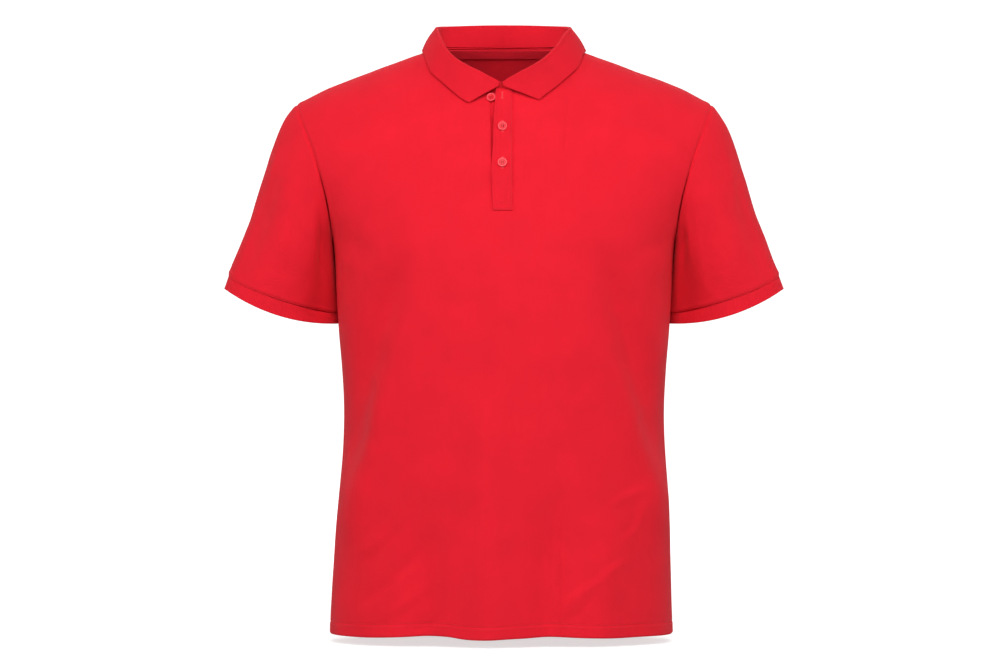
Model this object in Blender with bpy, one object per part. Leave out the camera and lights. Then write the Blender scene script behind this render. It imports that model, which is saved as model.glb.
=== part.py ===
"""Short-sleeved polo shirt, filled out as when it is worn, with no wearer inside.

The front faces -Y, +X is the wearer's left and +Z is up. The origin lies midway between
the two points where the shoulder seams meet the collar, which is where the shirt is held.
Sizes and places are in millimetres, and MM turns them to metres when a mesh is made.
Every piece of cloth is a wall: a grid of points on its outer face, and the same grid
moved in by the cloth's thickness.
"""
import bpy
import bmesh
import numpy as np
from math import cos, pi, radians, sin

MM = 0.001
FRONT = -1
BACK = 1

# Cloth
CLOTH = 1.6
HEM_CLOTH = 3.0
RIB = 2.2
COLLAR_CLOTH = 1.8
SEAM_GAP = 0.3
LAID_GAP = 0.4

# Main sizes of the body
HEM_Z = -733.0
HEM_DEPTH = 14.0
ARMPIT_Z = -240.0
SHOULDER_POINT_X = 259.0
SHOULDER_POINT_Z = -70.5
NECK_HALF_WIDTH = 85.0
NECK_FRONT_DROP = 58.0
NECK_BACK_RISE = 2.5
SHOULDER_ROLL = 120.0
SECTION_POWER = 2.3
ARMHOLE_STEPS = 12

# Body sections: height, half width, depth in front, depth behind
TORSO = [
    (-750.0, 217.5, 126.0, 118.0),
    (-700.0, 216.0, 124.0, 116.0),
    (-652.0, 213.0, 122.0, 114.0),
    (-602.0, 209.5, 121.0, 112.0),
    (-552.0, 205.0, 121.0, 110.0),
    (-502.0, 201.5, 122.0, 109.0),
    (-452.0, 200.0, 124.0, 109.0),
    (-402.0, 202.0, 126.0, 110.0),
    (-352.0, 206.0, 128.0, 113.0),
    (-300.0, 209.0, 129.0, 117.0),
    (-255.0, 211.5, 128.0, 120.0),
    (-240.0, 213.5, 127.0, 121.0),
]
# Above the armpit the half width is that of the whole chest with the upper arms
YOKE = [
    (-240.0, 213.5, 127.0, 121.0),
    (-234.0, 216.5, 126.5, 121.3),
    (-220.0, 223.0, 125.0, 122.0),
    (-198.0, 236.5, 121.0, 123.0),
    (-155.0, 263.5, 112.0, 122.0),
    (-117.0, 282.0, 102.0, 117.0),
    (-90.0, 291.0, 93.0, 110.0),
    (-58.0, 297.0, 81.5, 99.0),
    (-20.0, 300.0, 63.0, 83.0),
    (0.0, 300.0, 55.0, 77.0),
    (40.0, 300.0, 50.0, 70.0),
]
# The same away from the side seams, where the armpit pulls the cloth in less sharply
CHEST = [
    (-750.0, 217.5),
    (-602.0, 210.0),
    (-502.0, 203.0),
    (-452.0, 202.5),
    (-402.0, 205.5),
    (-352.0, 210.0),
    (-300.0, 217.0),
    (-270.0, 222.0),
    (-240.0, 229.0),
    (-211.0, 238.5),
    (-180.0, 251.0),
    (-155.0, 263.5),
    (-117.0, 282.0),
    (-90.0, 291.0),
    (-58.0, 297.0),
    (0.0, 300.0),
    (40.0, 300.0),
]
EDGE_POWER = 10.0
# Shoulder seam: distance from the centre, height, how far it lies behind the origin
SHOULDER = [
    (0.0, 33.0, 2.0),
    (85.0, 0.0, 2.0),
    (107.5, -8.6, 2.5),
    (150.0, -24.0, 3.5),
    (180.0, -35.2, 4.5),
    (204.0, -44.3, 5.0),
    (228.0, -54.3, 5.5),
    (248.0, -64.6, 6.0),
    (259.0, -70.5, 6.0),
]
# Armhole seam, seen from in front: height, distance from the centre
ARMHOLE = [
    (-240.0, 213.5),
    (-211.0, 216.5),
    (-191.0, 220.0),
    (-167.0, 226.0),
    (-144.0, 232.5),
    (-117.0, 242.0),
    (-96.0, 250.5),
    (-70.5, 259.0),
]
# Main folds: face, then x and height at the top, middle and lower end, half width, rise.
# Each fades in and out over FOLD_FADE, and runs out into the hem where it reaches it
FOLD_FADE = 90.0
FOLDS = [
    (FRONT, -120.0, -235.0, -170.0, -395.0, -196.0, -560.0, 21.0, -8.0),
    (FRONT, 118.0, -230.0, 165.0, -395.0, 196.0, -560.0, 21.0, -8.0),
    (FRONT, -150.0, -385.0, -166.0, -500.0, -204.0, -650.0, 20.0, 5.0),
    (FRONT, 146.0, -385.0, 175.0, -510.0, 204.0, -640.0, 20.0, 5.0),
    (FRONT, -24.0, -400.0, -23.0, -570.0, -21.0, -745.0, 27.0, 6.0),
    (FRONT, -98.0, -540.0, -97.0, -650.0, -96.0, -745.0, 22.0, -6.0),
    (FRONT, 56.0, -540.0, 55.0, -650.0, 54.0, -745.0, 22.0, -6.0),
    (FRONT, 128.0, -570.0, 125.0, -660.0, 122.0, -745.0, 24.0, 4.0),
    (BACK, -110.0, -150.0, -150.0, -370.0, -188.0, -560.0, 22.0, -8.0),
    (BACK, 116.0, -165.0, 158.0, -380.0, 190.0, -575.0, 22.0, -8.0),
    (BACK, -60.0, -330.0, -48.0, -540.0, -40.0, -745.0, 26.0, 6.0),
    (BACK, 30.0, -360.0, 38.0, -560.0, 42.0, -745.0, 26.0, -6.0),
    (BACK, 105.0, -450.0, 112.0, -600.0, 118.0, -745.0, 26.0, 6.0),
]

# Sleeve end, seen from in front: seam with the cuff, then the cuff's lower edge. The front
# hangs lower than the sides by a drop, whose power says how soon it fades towards them, and
# the inner end lies further back, behind the body's side
SLEEVE_END = {"outer": (344.5, -283.5), "inner": (205.5, -329.0), "half_depth": 51.0, "drop": (10.0, 1)}
CUFF_END = {"outer": (349.5, -301.0), "inner": (205.5, -344.5), "half_depth": 50.5, "drop": (12.8, 2)}
SLEEVE_Y = -4.0
SLEEVE_INNER_BACK = 34.0
SLEEVE_HEAD = 95.0
SLEEVE_FULLNESS = 5.0
SLEEVE_RINGS = (0.0, 0.05, 0.14, 0.26, 0.40, 0.55, 0.70, 0.85, 1.0)
CUFF_STEP = 0.8
# Sleeve folds: angle round the sleeve from the underarm by the front, start, end,
# half width in degrees, rise. Each fades over a share of the sleeve's length
SLEEVE_FADE = 0.25
SLEEVE_FOLDS = [
    (48.0, 0.10, 1.00, 17.0, -5.0),
    (112.0, 0.15, 0.85, 18.0, 3.0),
    (140.0, 0.30, 1.00, 14.0, -2.5),
    (250.0, 0.10, 0.95, 18.0, -5.0),
    (300.0, 0.15, 1.00, 18.0, -4.0),
]

# Collar, from the front to the back: angle on the neckline, then the roll line's x, y
# and height, then the place of the fall's edge on the cloth, which is its x and height on
# the front and back, or its x and y where it crosses the shoulder
COLLAR_FRONT = [
    (6.0, 3.5, -85.0, -46.5, 42.7, -72.6),
    (15.0, 18.5, -82.0, -37.8, 50.5, -67.3),
    (30.0, 38.0, -72.5, -27.3, 62.5, -58.0),
    (45.0, 55.0, -58.0, -16.0, 76.0, -46.0),
    (60.0, 69.5, -40.5, -0.5, 90.5, -31.5),
]
COLLAR_SHOULDER = [
    (75.0, 78.0, -20.0, 15.0, 99.0, -20.0),
    (90.0, 83.5, 0.5, 25.3, 102.3, 3.0),
    (105.0, 80.0, 16.0, 28.0, 98.5, 24.0),
]
COLLAR_BACK = [
    (120.0, 71.5, 28.0, 29.2, 92.0, -13.0),
    (135.0, 58.0, 37.5, 30.3, 76.0, -12.0),
    (150.0, 41.5, 44.0, 31.3, 54.0, -11.5),
    (165.0, 21.5, 48.5, 32.1, 27.0, -11.5),
    (180.0, 0.0, 50.0, 32.4, 0.0, -11.5),
]
COLLAR = COLLAR_FRONT + COLLAR_SHOULDER + COLLAR_BACK
# How the collar sits askew, by angle: the roll line's shift along X, and how much the
# fall's edge drops on the wearer's right and climbs on the left
ASKEW = [
    (6.0, -3.7, 1.8),
    (15.0, -4.2, 2.8),
    (30.0, -4.9, 2.8),
    (45.0, -5.3, 2.6),
    (60.0, -4.4, 2.8),
    (75.0, -2.8, 2.4),
    (90.0, -1.0, 1.0),
    (105.0, -0.4, 0.0),
    (120.0, 0.0, 0.0),
    (180.0, 0.0, 0.0),
]
COLLAR_LIFT = 3.0
COLLAR_BOW = 1.6
FRONT_EDGE_BOW = 4.4
FRONT_EDGE_REACH = 20.0
STAND_LIFT = 0.9
STAND_POINTS = 4
STAND_FRONT_X = 0.6
STAND_FRONT_Y = -0.3
ROLL_RADIUS = 1.7

# Placket: the two strips, the window in the front panel and the buttons
PLACKET_FREE_X = -14.5
PLACKET_SEWN_X = 10.5
PLACKET_FOOT = -207.0
PLACKET_TOP_GAP = 0.4
PLACKET_CLOTH = 1.6
PLACKET_OPEN_FROM = -108.0
PLACKET_OPEN_OVER = 40.0
PLACKET_SWING = 5.0
UNDER_X = (-27.0, 13.0)
UNDER_SHORTER = 1.0
WINDOW_ROWS = 4
TAPE_REACH = 66.0
TAPE_WIDTH = 10.0
TAPE_BELOW_SEAM = 0.6
TAPE_CLOTH = 1.0
BUTTON_RADIUS = 5.6
BUTTON_THICK = 2.4
BUTTON_SIDES = 20
# Buttons: name, x, height, how far their back lies outside the front panel's face
BUTTONS = [
    ("button_top", -15.8, -67.2, -1.5),
    ("button_middle", -1.9, -103.7, 2.5),
    ("button_low", -2.0, -148.5, 2.5),
]


def curve_through(keys, values):
    """A smooth curve through a table's rows, whose values are numbers or points."""
    keys = np.asarray(keys, float)
    values = np.asarray(values, float)
    slopes = np.gradient(values, keys, axis=0)

    def read(at):
        at = np.clip(np.asarray(at, float), keys[0], keys[-1])
        i = np.clip(np.searchsorted(keys, at) - 1, 0, len(keys) - 2)
        step = keys[i + 1] - keys[i]
        t = (at - keys[i]) / step
        if values.ndim > 1:
            step = step[..., None]
            t = t[..., None]
        start = (1 + 2 * t) * (1 - t) ** 2 * values[i] + t * (1 - t) ** 2 * step * slopes[i]
        end = t ** 2 * (3 - 2 * t) * values[i + 1] + t ** 2 * (t - 1) * step * slopes[i + 1]
        return start + end

    return read


def column(table, index):
    return [row[index] for row in table]


DEPTHS = TORSO[:-1] + YOKE
torso_width = curve_through(column(TORSO, 0), column(TORSO, 1))
yoke_width = curve_through(column(YOKE, 0), column(YOKE, 1))
chest_width = curve_through(column(CHEST, 0), column(CHEST, 1))
front_depth = curve_through(column(DEPTHS, 0), column(DEPTHS, 2))
back_depth = curve_through(column(DEPTHS, 0), column(DEPTHS, 3))
shoulder_z = curve_through(column(SHOULDER, 0), column(SHOULDER, 1))
shoulder_y = curve_through(column(SHOULDER, 0), column(SHOULDER, 2))
armhole_x = curve_through(column(ARMHOLE, 0), column(ARMHOLE, 1))


def unit(vectors):
    vectors = np.asarray(vectors, float)
    return vectors / np.linalg.norm(vectors, axis=-1, keepdims=True)


def smooth_step(t):
    t = np.clip(t, 0.0, 1.0)
    return t * t * (3 - 2 * t)


def half_width(z):
    return np.where(z < ARMPIT_Z, torso_width(z), yoke_width(z))


def section_width(x, z):
    """The half width that shapes a section: the seam's own at the edge, softer inside it."""
    edge = np.where(z < ARMPIT_Z, torso_width(z), armhole_x(z))
    share = np.clip(x / edge, 0.0, 1.0) ** EDGE_POWER
    return chest_width(z) * (1 - share) + half_width(z) * share


def rolled(drop):
    """How far the cloth has turned from the shoulder seam (0) into the chest (1)."""
    r = np.clip(drop / SHOULDER_ROLL, 0.0, 1.0)
    return np.sqrt(1 - (1 - r) ** 2)


def body_y(x, z, face):
    """Where the outer face of the front or back lies, for a place seen from in front."""
    x = np.abs(np.asarray(x, float))
    depth = front_depth(z) if face == FRONT else back_depth(z)
    across = np.clip(x / section_width(x, z), 0.0, 1.0)
    chest = face * depth * (1 - across ** SECTION_POWER) ** (1 / SECTION_POWER)
    roll = rolled(shoulder_z(x) - z)
    return chest * roll + shoulder_y(x) * (1 - roll)


def body_z(x, y, face):
    """The height of the cloth on the shoulder slope above a place in plan."""
    z = shoulder_z(abs(x)) - 20.0
    for _ in range(6):
        depth = front_depth(z) if face == FRONT else back_depth(z)
        roll = np.clip((y - shoulder_y(abs(x))) / (face * depth - shoulder_y(abs(x))), 0.0, 0.99)
        z = shoulder_z(abs(x)) - SHOULDER_ROLL * (1 - np.sqrt(1 - roll ** 2))
    return float(z)


def body_normal(x, z, face):
    """The outward direction of the front or back at one place."""
    e = 1.0
    slope_x = (body_y(x + e, z, face) - body_y(x - e, z, face)) / (2 * e)
    slope_z = (body_y(x, z + e, face) - body_y(x, z - e, face)) / (2 * e)
    return unit(np.stack([-face * slope_x, face * np.ones_like(slope_x), -face * slope_z], axis=-1))


def on_body(x, z, face, out=0.0):
    """A place on the front or back, moved out from its face."""
    x = np.asarray(x, float)
    z = np.asarray(z, float)
    point = np.stack([x, body_y(x, z, face), z + 0 * x], axis=-1)
    return point + out * body_normal(x, z, face)


def fold_rise(x, z, face):
    """How far the main folds lift or sink the cloth."""
    rise = np.zeros_like(x)
    for side, x1, z1, x2, z2, x3, z3, width, height in FOLDS:
        if side != face:
            continue
        path = curve_through([z3, z2, z1], [x3, x2, x1])
        lean = (x1 - x3) / (z1 - z3)
        away = (x - path(z)) / np.sqrt(1 + lean ** 2)
        fade_top = smooth_step((z1 - z) / FOLD_FADE)
        fade_low = 1.0 if z3 < HEM_Z else smooth_step((z - z3) / FOLD_FADE)
        rise += height * np.exp(-(away / width) ** 2) * fade_top * fade_low
    return rise


def grid_normals(points, wrap=False):
    """Outward or inward unit normals of a grid, from the neighbours of each point."""
    down = np.gradient(points, axis=0)
    if wrap:
        along = (np.roll(points, -1, axis=1) - np.roll(points, 1, axis=1)) / 2
    else:
        along = np.gradient(points, axis=1)
    return unit(np.cross(along, down))


def material(name, color, roughness, sheen=0.0):
    made = bpy.data.materials.new(name)
    made.use_nodes = True
    shader = made.node_tree.nodes["Principled BSDF"]
    shader.inputs["Base Color"].default_value = (*color, 1.0)
    shader.inputs["Roughness"].default_value = roughness
    shader.inputs["Metallic"].default_value = 0.0
    shader.inputs["Sheen Weight"].default_value = sheen
    return made


def solid(name, points, faces, finish):
    """One closed mesh from points in millimetres, shaded smooth with its edges sharp."""
    mesh = bpy.data.meshes.new(name)
    shape = bmesh.new()
    verts = [shape.verts.new(tuple(float(c) * MM for c in p)) for p in points]
    for face in faces:
        shape.faces.new([verts[i] for i in face])
    bmesh.ops.triangulate(shape, faces=shape.faces[:])
    bmesh.ops.recalc_face_normals(shape, faces=shape.faces[:])
    shape.to_mesh(mesh)
    shape.free()
    mesh.shade_smooth()
    mesh.set_sharp_from_angle(angle=radians(50))
    mesh.materials.append(finish)
    made = bpy.data.objects.new(name, mesh)
    bpy.context.scene.collection.objects.link(made)
    return made


def cloth(name, outer, inner, finish, wrap=False, gaps=()):
    """A wall of cloth between two grids of points, open where gaps says."""
    rows, cols = outer.shape[:2]
    last = cols if wrap else cols - 1
    quads = []
    for i in range(rows - 1):
        for j in range(last):
            if (i, j) in gaps:
                continue
            k = (j + 1) % cols
            quads.append((i * cols + j, i * cols + k, (i + 1) * cols + k, (i + 1) * cols + j))
    used = sorted({corner for quad in quads for corner in quad})
    place = {corner: n for n, corner in enumerate(used)}
    count = len(used)
    flat_outer = outer.reshape(-1, 3)
    flat_inner = inner.reshape(-1, 3)
    points = [flat_outer[c] for c in used] + [flat_inner[c] for c in used]
    edges = {(quad[n], quad[(n + 1) % 4]) for quad in quads for n in range(4)}
    faces = []
    for quad in quads:
        a, b, c, d = (place[corner] for corner in quad)
        faces.append((a, b, c, d))
        faces.append((d + count, c + count, b + count, a + count))
    for a, b in sorted(edges):
        if (b, a) not in edges:
            faces.append((place[b], place[a], place[a] + count, place[b] + count))
    return solid(name, points, faces, finish)


def panel_columns(face):
    """Places across a panel, as shares of its half width, and the columns of the neckline."""
    neck = [radians(a) for a in (15.0, 30.0, 45.0, 60.0, 75.0, 90.0)]
    shares = [NECK_HALF_WIDTH * sin(a) / SHOULDER_POINT_X for a in neck]
    start = np.arcsin(shares[-1] ** (SECTION_POWER / 2))
    outer = [float(np.sin(a) ** (2 / SECTION_POWER)) for a in np.linspace(start, pi / 2, 10)[1:]]
    half = shares + outer
    middle = [0.0] if face == BACK else [NECK_HALF_WIDTH * sin(radians(6.0)) / SHOULDER_POINT_X]
    return np.array([-s for s in reversed(half)] + middle + half)


def top_edge(x, face):
    """The height of a panel's top edge: the neckline, then the shoulder seam."""
    x = np.abs(x)
    inside = np.clip(x / NECK_HALF_WIDTH, 0.0, 1.0)
    drop = NECK_FRONT_DROP if face == FRONT else -NECK_BACK_RISE
    return np.where(x < NECK_HALF_WIDTH - 0.01, -drop * np.sqrt(1 - inside ** 2), shoulder_z(x))


def hem_shares():
    """Rows from the hem up to the armpit, as shares of that height."""
    height = ARMPIT_Z - HEM_Z
    band = HEM_DEPTH / height
    edge = 1.0 / height
    return [0.0, band, band + edge] + list(np.linspace(0.10, 1.0, 10))


def panel_grid(face):
    """The outer face of the front or back, row by row from the hem to the top."""
    across = panel_columns(face)
    rows = []
    for share in hem_shares()[:-1]:
        z = np.full_like(across, HEM_Z + (ARMPIT_Z - HEM_Z) * share)
        rows.append(np.stack([across * half_width(z), z], axis=-1))
    top = top_edge(across * SHOULDER_POINT_X, face)
    for step in range(ARMHOLE_STEPS + 1):
        t = (1 - cos(pi * step / ARMHOLE_STEPS)) / 2
        z = ARMPIT_Z + (top - ARMPIT_Z) * t
        edge = armhole_x(ARMPIT_Z + (SHOULDER_POINT_Z - ARMPIT_Z) * t)
        rows.append(np.stack([across * edge, z], axis=-1))
    plan = np.array(rows)
    x, z = plan[..., 0], plan[..., 1]
    points = np.stack([x, body_y(x, z, face), z], axis=-1)
    normals = outward(points, face)
    edge_fade = 1 - np.abs(across) ** 12
    return points + normals * (fold_rise(x, z, face) * edge_fade)[..., None]


def outward(points, face):
    """Panel normals that point out, square to the seams with the other panel."""
    normals = grid_normals(points)
    normals *= np.sign(np.mean(normals[..., 1])) * face
    low = len(hem_shares())
    for side in (0, -1):
        normals[:low, side, 1] = 0.0
    seam = np.abs(points[-1, :, 0]) >= NECK_HALF_WIDTH - 0.01
    normals[-1, seam, 1] = 0.0
    return unit(normals)


def sleeve_loop(angles, end=None):
    """The armhole seam, or a loop at the sleeve's end, by angle from the underarm."""
    points = []
    for angle in angles:
        if end is None:
            t = (1 - cos(angle)) / 2
            z = ARMPIT_Z + (SHOULDER_POINT_Z - ARMPIT_Z) * t
            x = float(armhole_x(z))
            points.append((x, float(body_y(x, z, FRONT if angle <= pi else BACK)), z))
            continue
        share = (1 - cos(angle)) / 2
        x = end["inner"][0] + (end["outer"][0] - end["inner"][0]) * share
        z = end["inner"][1] + (end["outer"][1] - end["inner"][1]) * share
        y = SLEEVE_Y + SLEEVE_INNER_BACK * (1 - share) ** 2 - end["half_depth"] * sin(angle)
        drop, power = end["drop"]
        points.append((x, y, z - drop * sin(angle) * abs(sin(angle)) ** (power - 1)))
    return np.array(points)


def sleeve_grid():
    """The outer face of the sleeve on the +X side, from the armhole to the cuff seam."""
    angles = np.linspace(0.0, 2 * pi, 2 * ARMHOLE_STEPS, endpoint=False)
    top = sleeve_loop(angles)
    low = sleeve_loop(angles, SLEEVE_END)
    rings = []
    for s in SLEEVE_RINGS:
        ring = top * (1 - s) + low * s
        head = SLEEVE_HEAD * s * (1 - s) ** 4 * ((1 - np.cos(angles)) / 2) ** 2
        ring[:, 0] += head
        ring[:, 2] += 0.5 * head
        ring[:, 1] -= SLEEVE_FULLNESS * sin(pi * s) * np.sin(angles)
        rings.append(ring)
    points = np.array(rings)
    normals = sleeve_normals(points)
    degrees = np.degrees(angles)
    for centre, start, stop, width, rise in SLEEVE_FOLDS:
        for i, s in enumerate(SLEEVE_RINGS):
            fade = smooth_step((s - start) / SLEEVE_FADE)
            if stop < 1.0:
                fade *= smooth_step((stop - s) / SLEEVE_FADE)
            points[i] += (rise * fade * np.exp(-((degrees - centre) / width) ** 2))[:, None] * normals[i]
    return points


def sleeve_normals(points):
    normals = grid_normals(points, wrap=True)
    centres = points.mean(axis=1, keepdims=True)
    return normals * np.sign(np.sum(normals * (points - centres), axis=-1, keepdims=True).mean())


def armhole_seam(panel, sleeve, face):
    """How panel and sleeve part at their seam, and which way each wall's edge runs in."""
    edge = panel[-ARMHOLE_STEPS - 1:, -1]
    inside = panel[-ARMHOLE_STEPS - 1:, -2]
    steps = np.arange(ARMHOLE_STEPS + 1)
    around = steps if face == FRONT else (2 * ARMHOLE_STEPS - steps) % (2 * ARMHOLE_STEPS)
    panel_out = outward(panel, face)[-ARMHOLE_STEPS - 1:, -1]
    sleeve_out = sleeve_normals(sleeve)[0, around]
    apart = unit(unit(sleeve[1, around] - sleeve[0, around]) - unit(inside - edge))
    both = panel_out + sleeve_out
    lengths = np.linalg.norm(both, axis=-1, keepdims=True)
    shared = lengths > 1.5
    mitre = both / np.maximum(lengths, 0.1) * 2 / np.maximum(lengths, 0.1)
    return {
        "around": around,
        "apart": apart,
        "panel_out": np.where(shared, mitre, panel_out),
        "sleeve_out": np.where(shared, mitre, sleeve_out),
    }


def build_panel(name, face, panel, seam, finish, gaps=()):
    """A body panel with its wall, pulled back from its seams."""
    normals = outward(panel, face)
    outer = panel.copy()
    flip = np.array([-1.0, 1.0, 1.0])
    low = len(outer) - ARMHOLE_STEPS - 1
    for side, mirror in ((-1, np.ones(3)), (0, flip)):
        normals[low:, side] = seam["panel_out"] * mirror
        outer[low:, side] -= SEAM_GAP / 2 * seam["apart"] * mirror
        outer[:, side, 1] += face * SEAM_GAP / 2
    shoulder = np.abs(panel[-1, :, 0]) >= NECK_HALF_WIDTH - 0.01
    shoulder[[0, -1]] = False
    outer[-1, shoulder, 1] += face * SEAM_GAP / 2
    thick = np.full(outer.shape[:2], CLOTH)
    thick[:2] = HEM_CLOTH
    inner = outer - normals * thick[..., None]
    return cloth(name, outer, inner, finish, gaps=gaps)


def build_sleeve(side, sleeve, seams, finish):
    normals = sleeve_normals(sleeve)
    outer = sleeve.copy()
    for seam in seams:
        inner_steps = slice(None) if seam is seams[0] else slice(1, -1)
        around = seam["around"][inner_steps]
        normals[0, around] = seam["sleeve_out"][inner_steps]
        outer[0, around] += SEAM_GAP / 2 * seam["apart"][inner_steps]
    inner = outer - normals * CLOTH
    turn = np.array([side, 1.0, 1.0])
    name = "sleeve_left" if side > 0 else "sleeve_right"
    return cloth(name, outer * turn, inner * turn, finish, wrap=True)


def build_cuff(side, finish):
    """The rib band below the sleeve's end, a little narrower than the sleeve."""
    angles = np.linspace(0.0, 2 * pi, 2 * ARMHOLE_STEPS, endpoint=False)
    top = sleeve_loop(angles, SLEEVE_END)
    low = sleeve_loop(angles, CUFF_END)
    rings = np.array([top, (top + low) / 2, low])
    normals = sleeve_normals(rings)
    down = unit(low - top)
    outer = rings - normals * CUFF_STEP
    outer[0] += down * SEAM_GAP * 1.5
    inner = outer - normals * RIB
    turn = np.array([side, 1.0, 1.0])
    name = "cuff_left" if side > 0 else "cuff_right"
    return cloth(name, outer * turn, inner * turn, finish, wrap=True)


def collar_edge(angle, x, other):
    """A point of the fall's edge, just off the cloth it lies on."""
    if angle < COLLAR_SHOULDER[0][0]:
        return on_body(x, other, FRONT, COLLAR_LIFT)
    if angle > COLLAR_SHOULDER[-1][0]:
        return on_body(x, other, BACK, COLLAR_LIFT)
    face = FRONT if other < shoulder_y(x) else BACK
    return np.array([x, other, body_z(x, other, face) + COLLAR_LIFT])


def neck_seam(angle):
    """A point of the neckline, by its angle from the front."""
    face = FRONT if angle <= 90.0 else BACK
    drop = NECK_FRONT_DROP if face == FRONT else -NECK_BACK_RISE
    x = NECK_HALF_WIDTH * sin(radians(angle))
    z = -drop * abs(cos(radians(angle)))
    return (x, float(body_y(x, z, face)), z)


def collar_section(seam, roll_top, edge):
    """One section of the collar: stand, roll and fall, on the +X side."""
    up = np.array([0.0, 0.0, 1.0])
    roll = roll_top - up * (ROLL_RADIUS + COLLAR_CLOTH / 2)
    over = edge - roll
    over[2] = 0.0
    over = unit(over)
    stand_foot = seam + STAND_LIFT * up - over * (COLLAR_CLOTH / 2 + SEAM_GAP)
    stand_top = roll - over * ROLL_RADIUS
    points = [stand_foot + (stand_top - stand_foot) * t for t in np.linspace(0.0, 1.0, STAND_POINTS)]
    for turn in (45.0, 90.0, 135.0):
        points.append(roll + ROLL_RADIUS * (sin(radians(turn)) * up - cos(radians(turn)) * over))
    fall_top = roll + over * ROLL_RADIUS
    out = unit(np.cross(np.cross(over, up), edge - fall_top))
    if out[2] < 0:
        out = -out
    for t in (0.0, 0.25, 0.5, 0.75, 1.0):
        points.append(fall_top + (edge - fall_top) * t + out * COLLAR_BOW * sin(pi * t))
    return np.array(points)


def collar_side(side):
    """One side, from the front to the back: a section at each row of the table and between two."""
    rows = column(COLLAR, 0)
    shift = curve_through(column(ASKEW, 0), column(ASKEW, 1))
    drop = curve_through(column(ASKEW, 0), column(ASKEW, 2))
    seams = np.array([neck_seam(angle) for angle in rows])
    roll_line = curve_through(rows, [row[1:4] for row in COLLAR])
    edges = [collar_edge(row[0], row[4], row[5] + side * drop(row[0])) for row in COLLAR]
    edge_line = curve_through(rows, edges)
    angles = sorted(rows + [(a + b) / 2 for a, b in zip(rows, rows[1:])])
    half = []
    for angle in angles:
        seam = np.array([np.interp(angle, rows, seams[:, axis]) for axis in range(3)])
        roll_top = roll_line(angle) + side * shift(angle) * np.array([1.0, 0.0, 0.0])
        half.append(collar_section(seam, roll_top, edge_line(angle)))
    half = np.array(half)
    near_edge = smooth_step((FRONT_EDGE_REACH - np.array(angles)) / (FRONT_EDGE_REACH - rows[0]))
    fall = np.linspace(0.0, 1.0, half.shape[1] - STAND_POINTS)
    bow = FRONT_EDGE_BOW * near_edge[:, None] * np.sin(pi * fall)
    half[:, STAND_POINTS:, 0] -= 0.55 * bow
    half[:, STAND_POINTS:, 2] -= 0.83 * bow

    climb = np.clip(np.arange(half.shape[1]) / (STAND_POINTS - 1), 0, 1)
    stand_end = half[:1].copy()
    stand_end[0, :, 0] = STAND_FRONT_X + side * shift(rows[0]) * climb
    stand_end[0, :, 1] += STAND_FRONT_Y
    return np.concatenate([stand_end, half]) * np.array([side, 1.0, 1.0])


def build_collar(finish):
    """Stand and fall in one, with only the stand between the fall's two front edges."""
    middle = np.concatenate([collar_side(-1), collar_side(1)[-2::-1]])
    normals = grid_normals(middle)
    rows, cols = middle.shape[:2]
    first_fall = STAND_POINTS + 2
    normals[1, first_fall:] = normals[2, first_fall:]
    normals[-2, first_fall:] = normals[-3, first_fall:]
    half = COLLAR_CLOTH / 2
    gaps = {(i, j) for i in (0, rows - 2) for j in range(STAND_POINTS + 1, cols - 1)}
    return cloth("collar", middle + normals * half, middle - normals * half, finish, gaps=gaps)


def placket_rows(shorter):
    """Heights of a strip: its foot, the front's own rows above it, and its top."""
    top = -NECK_FRONT_DROP - PLACKET_TOP_GAP - shorter
    turns = [pi * step / ARMHOLE_STEPS for step in range(WINDOW_ROWS, ARMHOLE_STEPS)]
    heights = [ARMPIT_Z + (-NECK_FRONT_DROP - ARMPIT_Z) * (1 - cos(a)) / 2 for a in turns]
    return [PLACKET_FOOT + shorter] + heights + [top]


def strip(name, x_values, heights, out, thick, finish):
    """A strip of cloth laid over or under the front, following its face."""
    x = np.array([np.asarray(x_values(z), float) for z in heights])
    z = np.array([np.full(x.shape[1], height) for height in heights])
    outer = on_body(x, z, FRONT, out + thick)
    inner = on_body(x, z, FRONT, out)
    return cloth(name, outer, inner, finish)


def upper_edge(z):
    """The upper placket's free edge, which swings open above the first fastened button."""
    return PLACKET_FREE_X + PLACKET_SWING * smooth_step((z - PLACKET_OPEN_FROM) / PLACKET_OPEN_OVER)


def build_placket(finish):
    def upper(z):
        return np.linspace(upper_edge(z), PLACKET_SEWN_X, 4)

    def under(z):
        return np.linspace(UNDER_X[0], UNDER_X[1], 5)

    strip("placket_upper", upper, placket_rows(0.0), LAID_GAP, PLACKET_CLOTH, finish)
    depth = -CLOTH - LAID_GAP - PLACKET_CLOTH
    strip("placket_under", under, placket_rows(UNDER_SHORTER), depth, PLACKET_CLOTH, finish)


def build_neck_tape(finish):
    """The tape inside the back neck, just below the collar seam."""
    angles = np.radians(np.linspace(-TAPE_REACH, TAPE_REACH, 13))
    x = NECK_HALF_WIDTH * np.sin(angles)
    top = NECK_BACK_RISE * np.cos(angles) - TAPE_BELOW_SEAM
    rows = [top - TAPE_WIDTH, top - TAPE_WIDTH / 2, top]
    depth = -CLOTH - 2 * LAID_GAP
    outer = np.array([on_body(x, z, BACK, depth) for z in rows])
    inner = np.array([on_body(x, z, BACK, depth - TAPE_CLOTH) for z in rows])
    return cloth("neck_tape", outer, inner, finish)


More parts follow.
